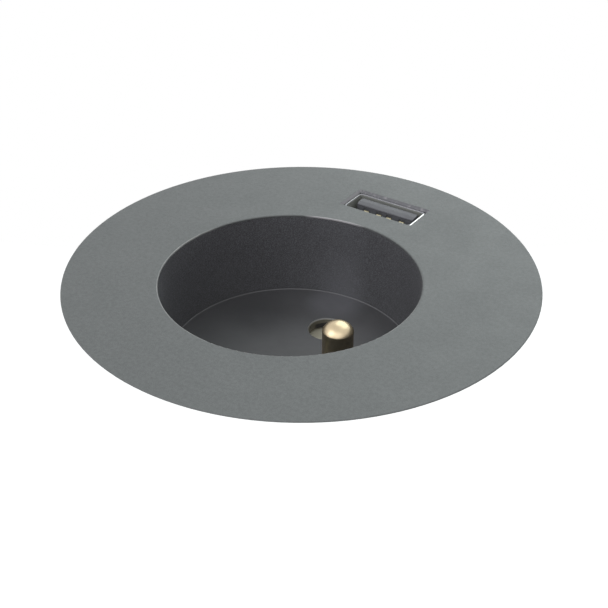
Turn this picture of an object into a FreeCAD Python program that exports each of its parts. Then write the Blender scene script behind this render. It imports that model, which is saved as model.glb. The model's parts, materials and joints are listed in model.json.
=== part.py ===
import FreeCAD, Part
import os
import re
import Sketcher

# In-desk power module: a round faceplate with an off-centre socket recess and a charging port,
# on a threaded barrel that a ring nut pulls down onto the desk.
# Millimetres. The origin is the centre of the gasket's underside, where it lies on the desk.
# +Z points up out of the desk, and +Y from the recess towards the charging port.

doc = FreeCAD.newDocument("DeskPowerModule")
sizes = doc.addObject("Spreadsheet::Sheet", "Sizes")
places = doc.addObject("Spreadsheet::Sheet", "Places")
homes = {}
finished = []


def write_cell(sheet, alias, content):
    """Puts one named value into the next free row of a sheet."""
    row = 1 + sum(1 for home in homes.values() if home == sheet.Name)
    sheet.set("A%d" % row, alias)
    sheet.set("B%d" % row, content)
    sheet.setAlias("B%d" % row, alias)
    homes[alias] = sheet.Name


def bound(text):
    """The same formula, with each named value led by the sheet that holds it."""
    def lead(word):
        name = word.group(0)
        return "%s.%s" % (homes[name], name) if name in homes else name
    return re.sub(r"[a-z][a-z0-9_]*", lead, str(text))


def place(alias, formula):
    write_cell(places, alias, "=" + bound(formula))


def bind(thing, **formulas):
    """Binds properties to formulas; x, y and z stand for the place of the piece."""
    for name, formula in formulas.items():
        path = "Placement.Base." + name if name in ("x", "y", "z") else name
        thing.setExpression(path, bound(formula))
    return thing


SIZES = {
    # Faceplate, flange and gasket
    "plate_dia": 73.0,
    "plate_thick": 0.8,
    "plate_bevel": 0.15,
    "rim_round": 0.15,
    "lip_thick": 0.25,
    "lip_width": 0.8,
    "lip_gap": 0.05,
    "film_thick": 0.15,
    "film_inset": 0.8,
    "flange_thick": 1.2,
    "flange_inset": 0.4,
    "gasket_thick": 0.4,
    "gasket_inset": 0.5,
    "gasket_width": 2.4,

    # Barrel and its thread
    "desk_hole_dia": 60.0,
    "hole_gap": 0.6,
    "deck_thick": 3.0,
    "barrel_wall": 2.1,
    "plain_length": 16.0,
    "thread_inset": 0.4,
    "thread_height": 1.3,
    "thread_pitch": 4.0,
    "thread_root_width": 2.4,
    "thread_crest_width": 0.9,
    "thread_lead": 1.3,
    "thread_end": 4.5,
    "thread_wall": 1.9,
    "thread_play": 0.3,
    "boss_r": 2.6,
    "boss_inset": 2.1,
    "board_boss_length": 11.0,
    "cover_boss_length": 9.0,

    # Ring nut and clamp washer, and the desk they stand clamped on at rest
    "desk_thick": 25.0,
    "washer_thick": 1.5,
    "washer_width": 5.6,
    "washer_gap": 0.3,
    "nut_height": 9.0,
    "nut_wall": 5.0,
    "nut_lug_reach": 1.6,
    "nut_lug_r": 3.2,
    "nut_lugs": 12,

    # Socket recess and cup
    "recess_dia": 40.0,
    "recess_depth": 14.5,
    "recess_offset": 3.1,
    "recess_taper": 0.25,
    "socket_turn": -4.2,
    "cup_wall": 1.4,
    "cup_floor": 1.6,
    "cup_floor_round": 0.2,
    "cup_skirt": 4.2,
    "cup_gap": 0.1,
    "cup_ear_width": 4.0,
    "cup_ear_thick": 1.4,
    "cup_ear_angle": 25.0,

    # Socket contacts, to the usual sizes of a two-pole socket with an earth pin
    "pole_spacing": 19.0,
    "pole_pin_length": 19.0,
    "entry_dia": 6.0,
    "entry_bevel": 0.2,
    "earth_dia": 4.8,
    "earth_reach": 9.3,
    "earth_height": 10.3,
    "earth_dome": 1.65,
    "earth_neck_r": 2.2,
    "earth_undercut": 0.15,
    "earth_collar_r": 3.0,
    "earth_collar_thick": 1.4,
    "earth_shank_r": 2.0,
    "contact_dia": 4.6,
    "contact_wall": 0.6,
    "contact_drop": 0.6,
    "contact_length": 9.5,
    "contact_slit": 0.8,
    "contact_slit_length": 7.0,
    "contact_ring_width": 0.4,
    "contact_ring_height": 2.0,
    "tail_width": 3.0,
    "tail_poke": 1.2,

    # Contact carrier and shutter
    "carrier_flange": 2.0,
    "carrier_r": 15.0,
    "carrier_roof": 1.0,
    "carrier_play": 0.7,
    "carrier_floor": 1.4,
    "carrier_plate_thick": 1.2,
    "carrier_boss_r": 2.1,
    "shutter_thick": 2.0,
    "shutter_gap": 0.3,
    "shutter_cover": 0.5,
    "shutter_hub_r": 3.6,
    "shutter_ramp": 1.3,
    "pivot_r": 1.5,
    "pivot_play": 0.05,
    "pivot_seat": 1.5,
    "pivot_shoulder_r": 2.0,
    "spring_wire": 0.35,
    "spring_pitch": 0.8,
    "spring_turns": 1.75,
    "spring_gap": 0.25,

    # Charging port, to the usual sizes of its kind
    "port_offset": 25.0,
    "port_width": 12.5,
    "port_height": 5.12,
    "port_sheet": 0.3,
    "port_depth": 14.0,
    "port_sunk": 0.45,
    "port_gap": 0.1,
    "port_slope": 0.4,
    "port_corner": 0.4,
    "tongue_width": 11.1,
    "tongue_thick": 2.0,
    "tongue_gap": 0.56,
    "tongue_sunk": 0.3,
    "tongue_base": 5.0,
    "port_contact_width": 1.0,
    "port_contact_proud": 0.25,
    "port_contact_start": 0.9,
    "port_contact_outer": 3.5,
    "port_contact_inner": 1.0,

    # Boards
    "board_thick": 1.6,
    "board_gap": 1.8,
    "board_clear": 0.4,
    "bay_height": 16.55,
    "riser_width": 18.0,
    "riser_top_gap": 0.8,
    "riser_tab": 8.0,

    # Fasteners
    "fit_gap": 0.05,
    "over": 1.0,
    "sink": 0.3,
    "screw_r": 1.1,
    "screw_head_r": 1.9,
    "screw_head_height": 1.5,
    "screw_bite": 5.0,
    "deck_screw_bite": 2.3,
    "driver_r": 0.9,
    "driver_depth": 0.9,

    # Rear cover and cable gland
    "cover_thick": 2.5,
    "cover_lip": 1.4,
    "cover_lip_height": 2.5,
    "cover_gap": 0.2,
    "gland_offset": 12.0,
    "gland_thread_r": 8.0,
    "gland_hex_r": 11.5,
    "gland_bore_r": 5.2,
    "gland_stem": 7.5,
    "gland_flange": 4.0,
    "gland_collar_r": 8.8,
    "gland_collar": 7.0,
    "gland_seal_wall": 1.7,
    "gland_seal_height": 6.0,
    "cable_dia": 9.0,
    "gland_washer_thick": 1.0,
    "gland_nut_height": 11.0,
    "gland_nut_gap": 1.2,
    "locknut_thick": 3.5,

    # Terminal block and charger parts, measured on the board's underside
    "block_width": 15.2,
    "block_depth": 8.0,
    "block_height": 9.5,
    "block_y": 0.5,
    "pole_pitch": 5.0,
    "clamp_width": 3.6,
    "clamp_wall": 0.6,
    "screw_sunk": 0.5,
    "core_width": 12.0,
    "core_depth": 9.0,
    "core_height": 12.0,
    "core_leg": 1.7,
    "core_yoke": 2.5,
    "core_x": -14.6,
    "core_y": 4.0,
    "winding_reach": 2.4,
    "winding_gap": 0.1,
    "input_can_r": 5.0,
    "input_can_height": 12.5,
    "input_can_x": 14.2,
    "input_can_y": 8.5,
    "output_can_r": 3.15,
    "output_can_height": 9.0,
    "output_can_x": 3.6,
    "output_can_y": 12.6,
    "can_foot": 0.8,
    "can_round": 0.5,
    "fuse_r": 4.2,
    "fuse_height": 7.5,
    "fuse_x": -13.5,
    "fuse_y": -8.5,
    "varistor_r": 4.5,
    "varistor_thick": 4.0,
    "varistor_stand": 1.0,
    "varistor_x": 12.5,
    "varistor_y": -9.0,
    "lead_r": 0.4,
    "bridge_width": 7.0,
    "bridge_depth": 6.0,
    "bridge_height": 1.4,
    "bridge_x": -11.0,
    "bridge_y": 6.0,
    "chip_width": 6.0,
    "chip_height": 5.0,
    "chip_thick": 1.6,
    "chip_drop": 21.0,
    "coil_width": 7.0,
    "coil_thick": 3.2,
    "coil_drop": 28.0,
}
for alias, value in SIZES.items():
    write_cell(sizes, alias, str(value))

# Levels and radii worked out from the sizes above
place("flange_top", "gasket_thick + flange_thick")
place("plate_low", "flange_top + film_thick")
place("plate_top", "plate_low + plate_thick")
place("plate_r", "plate_dia / 2")
place("flange_r", "plate_r - flange_inset")
place("barrel_r", "desk_hole_dia / 2 - hole_gap")
place("thread_r", "barrel_r - thread_inset")
place("core_r", "thread_r - thread_height")
place("upper_bore_r", "barrel_r - barrel_wall")
place("lower_bore_r", "core_r - thread_wall")
place("deck_low", "flange_top - deck_thick")
place("plain_low", "-plain_length")
place("cone_low", "plain_low - (barrel_r - core_r)")
place("boss_ring", "lower_bore_r - boss_inset")
place("washer_top", "-desk_thick")
place("washer_low", "washer_top - washer_thick")
place("nut_low", "washer_low - nut_height")
place("nut_bore_r", "core_r + thread_play")
place("nut_r", "thread_r + nut_wall")

place("recess_r", "recess_dia / 2")
place("floor_r", "recess_r - recess_taper")
place("cup_r", "recess_r + cup_wall")
place("lip_low", "plate_top - lip_thick")
place("cup_top", "lip_low - lip_gap")
place("cup_top_r", "recess_r + lip_width - 2 * lip_gap")
place("floor_top", "plate_top - recess_depth")
place("floor_low", "floor_top - cup_floor")
place("skirt_low", "floor_low - cup_skirt")
place("ear_r", "cup_r + cup_ear_width")
place("ear_low", "deck_low - cup_ear_thick")
place("ear_screw_ring", "cup_r + screw_head_r + 4 * fit_gap")
place("entry_r", "entry_dia / 2")
place("pole_reach", "pole_spacing / 2")
place("earth_r", "earth_dia / 2")
place("earth_tip", "floor_top + earth_height")
place("collar_low", "floor_low - earth_collar_thick")
place("carrier_flange_low", "skirt_low - carrier_flange")
place("carrier_low", "floor_top - pole_pin_length - carrier_floor")
place("carrier_plate_low", "carrier_low - carrier_plate_thick")
place("carrier_screw_ring", "carrier_r + (cup_r - carrier_r) / 2")
place("contact_r", "contact_dia / 2")
place("contact_outer_r", "contact_r + contact_wall")
place("pocket_top", "skirt_low - carrier_roof")
place("pocket_r", "contact_outer_r + contact_ring_width + carrier_play")
place("contact_top", "pocket_top - contact_drop")
place("contact_low", "contact_top - contact_length")
place("shutter_top", "floor_low - shutter_gap")
place("shutter_low", "shutter_top - shutter_thick")
place("shutter_half", "entry_r + shutter_cover")
place("spring_r", "pivot_shoulder_r + spring_gap + spring_wire / 2")

place("board_top", "carrier_plate_low - board_gap")
place("board_low", "board_top - board_thick")
place("board_r", "lower_bore_r - board_clear")
place("tail_low", "board_low - tail_poke")
place("barrel_low", "board_low - bay_height")
place("thread_start", "barrel_low + thread_end")
place("thread_run", "cone_low - thread_lead - thread_start")
place("nut_thread_start", "thread_start + thread_pitch * ceil((nut_low - thread_start) / thread_pitch - 2)")
place("clamp_low", "board_low - block_height + screw_head_height + 2 * screw_sunk")
place("port_half_x", "port_width / 2")
place("port_half_y", "port_height / 2")
place("shell_half_x", "port_half_x + port_sheet")
place("shell_half_y", "port_half_y + port_sheet")
place("port_top", "plate_top - port_sunk")
place("port_low", "port_top - port_depth")
place("tongue_top", "port_top - tongue_sunk")
place("tongue_far", "port_offset + port_half_y - tongue_gap")
place("tongue_near", "tongue_far - tongue_thick")
place("riser_far", "port_offset - shell_half_y")
place("riser_near", "riser_far - board_thick")
place("riser_top", "deck_low - riser_top_gap")

place("cover_top", "barrel_low")
place("cover_low", "cover_top - cover_thick")
place("gland_washer_low", "cover_low - gland_washer_thick")
place("gland_flange_low", "gland_washer_low - gland_flange")
place("gland_collar_low", "gland_flange_low - gland_collar")
place("gland_stem_top", "cover_low + gland_stem")
place("locknut_top", "cover_top + locknut_thick")
place("gland_nut_top", "gland_flange_low - gland_nut_gap")
place("gland_nut_low", "gland_nut_top - gland_nut_height")
place("seal_r", "cable_dia / 2 + gland_seal_wall")
place("cable_r", "cable_dia / 2")
doc.recompute()


def number(formula):
    """The present value of a formula in the named values."""
    return float(places.evalExpression(bound(formula)))


def rod(radius, low, high, x="0", y="0"):
    """An upright cylinder between two levels."""
    made = doc.addObject("Part::Cylinder", "Rod")
    return bind(made, Radius=radius, Height="(%s) - (%s)" % (high, low), x=x, y=y, z=low)


def cone(low_r, high_r, low, high, x="0", y="0"):
    made = doc.addObject("Part::Cone", "Cone")
    height = "(%s) - (%s)" % (high, low)
    return bind(made, Radius1=low_r, Radius2=high_r, Height=height, x=x, y=y, z=low)


def hexagon(radius, low, high, x="0", y="0"):
    made = doc.addObject("Part::Prism", "Hexagon")
    made.Polygon = 6
    return bind(made, Circumradius=radius, Height="(%s) - (%s)" % (high, low), x=x, y=y, z=low)


def block(x0, x1, y0, y1, z0, z1):
    """A box between two corners."""
    made = doc.addObject("Part::Box", "Block")
    lengths = {
        "Length": "(%s) - (%s)" % (x1, x0),
        "Width": "(%s) - (%s)" % (y1, y0),
        "Height": "(%s) - (%s)" % (z1, z0),
    }
    return bind(made, x=x0, y=y0, z=z0, **lengths)


def slab(half_x, y0, y1, z0, z1, x="0"):
    """A box that is centred in x."""
    return block("%s - (%s)" % (x, half_x), "%s + (%s)" % (x, half_x), y0, y1, z0, z1)


def fuse(*things):
    made = doc.addObject("Part::MultiFuse", "Joined")
    made.Shapes = list(things)
    return made


def group(*things):
    """Separate solids that share one node."""
    made = doc.addObject("Part::Compound", "Group")
    made.Links = list(things)
    return made


def cut(base, *tools):
    made = doc.addObject("Part::Cut", "Trimmed")
    made.Base = base
    made.Tool = tools[0] if len(tools) == 1 else fuse(*tools)
    return made


def common(first, second):
    made = doc.addObject("Part::Common", "Shared")
    made.Base = first
    made.Tool = second
    return made


def origin_plane(body, role):
    return [feature for feature in body.Origin.OriginFeatures if feature.Role == role][0]


def new_body():
    return doc.addObject("PartDesign::Body", "Body")


def outline(body, corners):
    """A closed sketch in the XZ plane, with the radius and level of each corner bound to a formula."""
    sketch = body.newObject("Sketcher::SketchObject", "Outline")
    sketch.AttachmentSupport = [(origin_plane(body, "XZ_Plane"), "")]
    sketch.MapMode = "FlatFace"
    spots = [FreeCAD.Vector(number(across), number(up), 0) for across, up in corners]
    count = len(corners)
    for index in range(count):
        sketch.addGeometry(Part.LineSegment(spots[index], spots[(index + 1) % count]))
    for index in range(count):
        sketch.addConstraint(Sketcher.Constraint("Coincident", index, 2, (index + 1) % count, 1))
    for index, (across, up) in enumerate(corners):
        spot = spots[index]
        held = sketch.addConstraint(Sketcher.Constraint("DistanceX", -1, 1, index, 1, spot.x))
        sketch.setExpression("Constraints[%d]" % held, bound(across))
        held = sketch.addConstraint(Sketcher.Constraint("DistanceY", -1, 1, index, 1, spot.y))
        sketch.setExpression("Constraints[%d]" % held, bound(up))
    return sketch


def turned(*corners):
    """A body of revolution about Z; each corner is its radius and its level."""
    body = new_body()
    sketch = outline(body, corners)
    spun = body.newObject("PartDesign::Revolution", "Turned")
    spun.Profile = sketch
    spun.ReferenceAxis = (sketch, ["V_Axis"])
    spun.Angle = 360
    return body


def ring(inner, outer, low, high):
    return turned((inner, low), (outer, low), (outer, high), (inner, high))


def wind(body, corners, height):
    """Adds a helical ridge about Z that climbs from the level of its section."""
    sketch = outline(body, corners)
    doc.recompute()
    wound = body.newObject("PartDesign::AdditiveHelix", "Thread")
    wound.Profile = sketch
    wound.ReferenceAxis = (sketch, ["V_Axis"])
    wound.Mode = "pitch-height-angle"
    return bind(wound, Pitch="thread_pitch", Height=height)


def edges_at(feature, level, radius=None):
    """Names of the round edges of a shape that lie at a level, with a given radius if one is named."""
    near = 0.001
    names = []
    for index, edge in enumerate(feature.Shape.Edges):
        if not isinstance(edge.Curve, Part.Circle) or abs(edge.Curve.Center.z - level) > near:
            continue
        if abs(abs(edge.Curve.Axis.z) - 1) > near:
            continue
        if radius is None or abs(edge.Curve.Radius - radius) < near:
            names.append("Edge%d" % (index + 1))
    return names


def ease(body, kind, level, radius, **formulas):
    """Rounds or bevels the round edge of a body that has this level and radius."""
    doc.recompute()
    base = body.Tip
    eased = body.newObject(kind, "Eased")
    eased.Base = (base, edges_at(base, number(level), number(radius)))
    return bind(eased, **formulas)


def around(ring_r, angle):
    """The x and y formulas of a spot on a circle about the frame's Z axis."""
    return "%s * cos(%s)" % (ring_r, angle), "%s * sin(%s)" % (ring_r, angle)


def screw(spot, seat, tip):
    """A pan-head screw driven upwards: its head hangs below the seat level."""
    x, y = spot
    head_low = "%s - screw_head_height" % seat
    head = rod("screw_head_r", head_low, seat, x, y)
    shank = rod("screw_r", seat, tip, x, y)
    socket = hexagon("driver_r", head_low, head_low + " + driver_depth", x, y)
    return cut(fuse(head, shank), socket)


def finish(label, made, in_socket_frame=False):
    """Names a sub-part, and moves what was drawn about the recess axis to its place."""
    made.Label = label
    if in_socket_frame:
        bind(made, y="-recess_offset")
        made.setExpression("Placement.Rotation.Angle", bound("socket_turn"))
    finished.append(made)


BOARD_BOSS_ANGLES = (35, 145, 230, 310)
COVER_BOSS_ANGLES = (90, 210, 330)
CARRIER_BOSS_ANGLES = (60, 180, 300)
EAR_SIDES = (
    "cup_ear_angle",
    "180 - cup_ear_angle",
    "180 + cup_ear_angle",
    "360 - cup_ear_angle",
)
ear_spots = [around("ear_screw_ring", angle) for angle in EAR_SIDES]
board_boss_spots = [around("boss_ring", angle) for angle in BOARD_BOSS_ANGLES]
cover_boss_spots = [around("boss_ring", angle) for angle in COVER_BOSS_ANGLES]
carrier_boss_spots = [around("carrier_screw_ring", angle) for angle in CARRIER_BOSS_ANGLES]
screw_hole_r = "screw_r + fit_gap"


def port_hole(low, high, gap="port_gap"):
    """The space round the port's shell between two levels."""
    half_x = "shell_half_x + %s" % gap
    half_y = "shell_half_y + %s" % gap
    return slab(half_x, "port_offset - (%s)" % half_y, "port_offset + (%s)" % half_y, low, high)


def port_slope():
    """The sloped mouth of the port's opening, wider towards the top at 45 degrees."""
    half_x = "(shell_half_x + port_gap / 2)"
    half_y = "(shell_half_y + port_gap / 2)"
    rise = "(port_slope + over)"
    wedge = doc.addObject("Part::Wedge", "Mouth")
    wedge.Placement.Rotation = FreeCAD.Rotation(FreeCAD.Vector(1, 0, 0), 90)
    return bind(
        wedge,
        Ymin="plate_top - port_slope", Ymax="plate_top + over",
        Xmin="-%s" % half_x, Xmax=half_x,
        Zmin="-port_offset - %s" % half_y, Zmax="-port_offset + %s" % half_y,
        X2min="-%s - %s" % (half_x, rise), X2max="%s + %s" % (half_x, rise),
        Z2min="-port_offset - %s - %s" % (half_y, rise), Z2max="-port_offset + %s + %s" % (half_y, rise),
    )


def faceplate():
    body = new_body()
    sketch = body.newObject("Sketcher::SketchObject", "Disc")
    sketch.AttachmentSupport = [(origin_plane(body, "XY_Plane"), "")]
    sketch.MapMode = "FlatFace"
    up = FreeCAD.Vector(0, 0, 1)
    centre = FreeCAD.Vector(0, 0, 0)
    recess = FreeCAD.Vector(0, number("-recess_offset"), 0)
    disc = sketch.addGeometry(Part.Circle(centre, up, number("plate_r")))
    hole = sketch.addGeometry(Part.Circle(recess, up, number("recess_r")))
    sketch.addConstraint(Sketcher.Constraint("Coincident", disc, 3, -1, 1))
    sketch.addConstraint(Sketcher.Constraint("PointOnObject", hole, 3, -2))
    rules = (
        (Sketcher.Constraint("Radius", disc, number("plate_r")), "plate_r"),
        (Sketcher.Constraint("Radius", hole, number("recess_r")), "recess_r"),
        (Sketcher.Constraint("DistanceY", -1, 1, hole, 3, recess.y), "-recess_offset"),
    )
    for rule, formula in rules:
        held = sketch.addConstraint(rule)
        sketch.setExpression("Constraints[%d]" % held, bound(formula))
    bind(sketch, **{"AttachmentOffset.Base.z": "plate_low"})
    pad = body.newObject("PartDesign::Pad", "Plate")
    pad.Profile = sketch
    bind(pad, Length="plate_thick")
    ease(body, "PartDesign::Fillet", "plate_top", "recess_r", Radius="rim_round")
    ease(body, "PartDesign::Chamfer", "plate_top", "plate_r", Size="plate_bevel")
    rebate = rod("recess_r + lip_width", "plate_low - over", "lip_low", y="-recess_offset")
    port = port_hole("plate_low - over", "plate_top + over", "port_gap / 2")
    finish("faceplate", cut(body, rebate, port, port_slope()))


def plate_adhesive():
    disc = rod("flange_r - film_inset", "flange_top", "plate_low")
    recess = rod("cup_r + film_inset", "flange_top - over", "plate_low + over", y="-recess_offset")
    port = port_hole("flange_top - over", "plate_low + over", "film_inset")
    finish("plate_adhesive", cut(disc, recess, port))


def flange_gasket():
    outer = "flange_r - gasket_inset"
    finish("flange_gasket", ring("%s - gasket_width" % outer, outer, "0", "gasket_thick"))


def thread_section(root_r, crest_r, level, extra):
    """The trapezium of the thread, with its root sunk into the core and its flanks moved out by extra."""
    root = "thread_root_width / 2 + %s" % extra
    crest = "thread_crest_width / 2 + %s" % extra
    return (
        (root_r, "%s - (%s)" % (level, root)),
        (crest_r, "%s - (%s)" % (level, crest)),
        (crest_r, "%s + (%s)" % (level, crest)),
        (root_r, "%s + (%s)" % (level, root)),
    )


def barrel_housing():
    body = turned(
        ("0", "flange_top"),
        ("flange_r", "flange_top"),
        ("flange_r", "gasket_thick"),
        ("barrel_r", "gasket_thick"),
        ("barrel_r", "plain_low"),
        ("core_r", "cone_low"),
        ("core_r", "barrel_low"),
        ("lower_bore_r", "barrel_low"),
        ("lower_bore_r", "plain_low - (upper_bore_r - lower_bore_r)"),
        ("upper_bore_r", "plain_low"),
        ("upper_bore_r", "deck_low"),
        ("0", "deck_low"),
    )
    section = thread_section("core_r - sink", "thread_r", "thread_start", "0")
    wind(body, section, "thread_run")
    bosses = []
    pilots = []
    for x, y in board_boss_spots:
        bosses.append(rod("boss_r", "board_top", "board_top + board_boss_length", x, y))
        pilots.append(rod(screw_hole_r, "board_top - over", "board_top + screw_bite + over", x, y))
    for x, y in cover_boss_spots:
        bosses.append(rod("boss_r", "barrel_low", "barrel_low + cover_boss_length", x, y))
        pilots.append(rod(screw_hole_r, "barrel_low - over", "barrel_low + screw_bite + over", x, y))
    sleeve = cut(
        fuse(*bosses),
        cut(
            rod("barrel_r", "barrel_low - over", "0"),
            rod("core_r - thread_wall / 2", "barrel_low - 2 * over", "over"),
        ),
    )
    recess = rod("cup_r + cup_gap", "deck_low - over", "flange_top + over", y="-recess_offset")
    port = port_hole("plain_low", "flange_top + over", "2 * port_gap")
    ear_pilots = [rod(screw_hole_r, "deck_low - over", "deck_low + deck_screw_bite + fit_gap", x, y)
                  for x, y in ear_spots]
    ear_holes = group(*ear_pilots)
    bind(ear_holes, y="-recess_offset")
    ear_holes.setExpression("Placement.Rotation.Angle", bound("socket_turn"))
    finish("barrel_housing", cut(fuse(body, sleeve), recess, port, ear_holes, *pilots))


def clamp_washer():
    inner = "barrel_r + washer_gap"
    finish("clamp_washer", ring(inner, "%s + washer_width" % inner, "washer_low", "washer_top"))


def ring_nut():
    """The nut's groove follows the barrel's ridge, with the same phase and some play."""
    blank = ring("nut_bore_r", "nut_r", "nut_low", "washer_low")
    groove = new_body()
    section = thread_section("nut_bore_r - sink", "thread_r + thread_play", "nut_thread_start", "thread_play")
    wind(groove, section, "nut_height + 3 * thread_pitch")
    lugs = []
    count = int(number("nut_lugs"))
    for index in range(count):
        x, y = around("(nut_r + nut_lug_reach - nut_lug_r)", "360 * %d / nut_lugs" % index)
        lugs.append(rod("nut_lug_r", "nut_low", "washer_low", x, y))
    hollow = rod("nut_r - over", "nut_low - over", "washer_low + over")
    threaded = cut(blank, groove)
    nut = fuse(threaded, cut(fuse(*lugs), hollow))
    threaded.Refine = False
    nut.Refine = False
    finish("ring_nut", nut)


def socket_cup():
    body = turned(
        ("recess_r", "cup_top"),
        ("floor_r", "floor_top"),
        ("0", "floor_top"),
        ("0", "floor_low"),
        ("recess_r", "floor_low"),
        ("recess_r", "skirt_low"),
        ("cup_r", "skirt_low"),
        ("cup_r", "plate_low"),
        ("cup_top_r", "plate_low"),
        ("cup_top_r", "cup_top"),
    )
    ease(body, "PartDesign::Fillet", "floor_top", "floor_r", Radius="cup_floor_round")
    ear_ring = cut(rod("ear_r", "ear_low", "deck_low"),
                   rod("cup_r - sink", "ear_low - over", "deck_low + over"))
    middle = ("recess_offset * sin(socket_turn)", "recess_offset * cos(socket_turn)")
    inside = rod("upper_bore_r - cup_gap", "ear_low - over", "deck_low + over", *middle)
    board_side = "riser_near + recess_offset - riser_top_gap"
    port_side = slab("riser_width", board_side, "board_r * 2", "ear_low - over", "deck_low + over")
    ears = cut(common(ear_ring, inside), port_side)
    bosses = []
    holes = []
    for x, y in carrier_boss_spots:
        bosses.append(rod("carrier_boss_r", "skirt_low", "floor_low + sink", x, y))
        holes.append(rod(screw_hole_r, "skirt_low - over", "floor_low - sink", x, y))
    for x, y in ear_spots:
        holes.append(rod(screw_hole_r, "ear_low - over", "deck_low + over", x, y))
    for side in ("pole_reach", "-pole_reach"):
        holes.append(rod("entry_r", "floor_low - over", "floor_top + over", y=side))
        flare = cone("entry_r", "entry_r + entry_bevel", "floor_top - entry_bevel", "floor_top", y=side)
        holes.append(flare)
    holes.append(rod("earth_neck_r + fit_gap", "floor_low - over", "floor_top + over", "earth_reach"))
    finish("socket_cup", cut(fuse(body, ears, *bosses), *holes), True)


def cup_screws():
    screws = [screw(spot, "ear_low", "deck_low + deck_screw_bite") for spot in ear_spots]
    finish("cup_screws", group(*screws), True)


def earth_pin():
    """A round-ended pin with a neck in the cup's floor, a collar under it and a shank to the strap."""
    dome_r = "(earth_r * earth_r + earth_dome * earth_dome) / (2 * earth_dome)"
    ball = doc.addObject("Part::Sphere", "Dome")
    bind(ball, Radius=dome_r, x="earth_reach", z="earth_tip - (%s)" % dome_r)
    top = common(ball, rod("earth_r", "earth_tip - 1.2 * earth_dome", "earth_tip + over", "earth_reach"))
    stem = rod("earth_r", "floor_top + earth_undercut", "earth_tip - earth_dome", "earth_reach")
    neck = rod("earth_neck_r", "floor_low", "floor_top + earth_undercut", "earth_reach")
    collar = rod("earth_collar_r", "collar_low", "floor_low", "earth_reach")
    shank = rod("earth_shank_r", "carrier_plate_low - contact_wall", "collar_low", "earth_reach")
    finish("earth_pin", fuse(top, stem, neck, collar, shank), True)


def earth_strap():
    """A strip under the carrier plate, riveted to the pin's shank, with a tab down through the board."""
    low = "carrier_plate_low - contact_wall"
    half = "earth_shank_r + 2 * contact_wall"
    strip = block("earth_reach - (%s)" % half, "earth_reach + 2 * (%s)" % half,
                  "-(%s)" % half, half, low, "carrier_plate_low")
    tab = block("earth_reach + 2 * (%s) - contact_wall" % half, "earth_reach + 2 * (%s)" % half,
                "-tail_width / 2", "tail_width / 2", "tail_low", "carrier_plate_low")
    hole = rod("earth_shank_r", low + " - over", "carrier_plate_low + over", "earth_reach")
    finish("earth_strap", cut(fuse(strip, tab), hole), True)


def contact_carrier():
    flange = rod("cup_r", "carrier_flange_low", "skirt_low")
    stem = rod("carrier_r", "carrier_low", "skirt_low")
    holes = []
    for side in ("pole_reach", "-pole_reach"):
        holes.append(rod("pocket_r", "carrier_low - over", "pocket_top", y=side))
        holes.append(rod("contact_r + contact_wall / 2", "carrier_low - over", "skirt_low + over", y=side))
    holes.append(rod("earth_shank_r + fit_gap", "carrier_low - over", "skirt_low + over", "earth_reach"))
    holes.append(rod("pivot_r", "skirt_low - pivot_seat", "skirt_low + over"))
    for x, y in carrier_boss_spots:
        holes.append(rod(screw_hole_r, "carrier_flange_low - over", "skirt_low + over", x, y))
    finish("contact_carrier", cut(fuse(flange, stem), *holes), True)


def carrier_screws():
    tip = "floor_low - 2 * screw_head_height / 3"
    screws = [screw(spot, "carrier_flange_low", tip) for spot in carrier_boss_spots]
    finish("carrier_screws", group(*screws), True)


def tail_spot(side):
    """The y range of a contact's tail, which leaves its tube on the side away from the middle."""
    if side > 0:
        return "pole_reach + contact_r", "pole_reach + contact_outer_r"
    return "-pole_reach - contact_outer_r", "-pole_reach - contact_r"


def carrier_plate():
    disc = rod("carrier_r", "carrier_plate_low", "carrier_low")
    slots = []
    for side in (1, -1):
        near, far = tail_spot(side)
        slots.append(slab("tail_width / 2 + fit_gap", near + " - fit_gap", far + " + fit_gap",
                          "carrier_plate_low - over", "carrier_low + over"))
    shank_r = "earth_shank_r + fit_gap"
    slots.append(rod(shank_r, "carrier_plate_low - over", "carrier_low + over", "earth_reach"))
    finish("carrier_plate", cut(disc, *slots), True)


def pole_contact(label, side):
    """A split tube that grips a plug pin, with a flat tail down through the board."""
    centre = "pole_reach" if side > 0 else "-pole_reach"
    near, far = tail_spot(side)
    tube = cut(
        rod("contact_outer_r", "contact_low", "contact_top", y=centre),
        rod("contact_r", "contact_low - over", "contact_top + over", y=centre),
        slab("contact_outer_r + over", centre + " - contact_slit / 2", centre + " + contact_slit / 2",
             "contact_top - contact_slit_length", "contact_top + over"),
    )
    tail = slab("tail_width / 2", near, far, "tail_low", "contact_low + contact_wall")
    inside = rod("contact_r", "tail_low - over", "contact_top + over", y=centre)
    finish(label, cut(fuse(tube, tail), inside), True)


def contact_clips():
    clips = []
    high = "contact_top - contact_ring_height / 2"
    low = high + " - contact_ring_height"
    for centre in ("pole_reach", "-pole_reach"):
        outer = rod("contact_outer_r + contact_ring_width", low, high, y=centre)
        inner = rod("contact_outer_r", low + " - over", high + " + over", y=centre)
        gap = slab("contact_slit / 2", centre, centre + " + 9", low + " - over", high + " + over")
        clips.append(cut(outer, inner, gap))
    finish("contact_clips", group(*clips), True)


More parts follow.
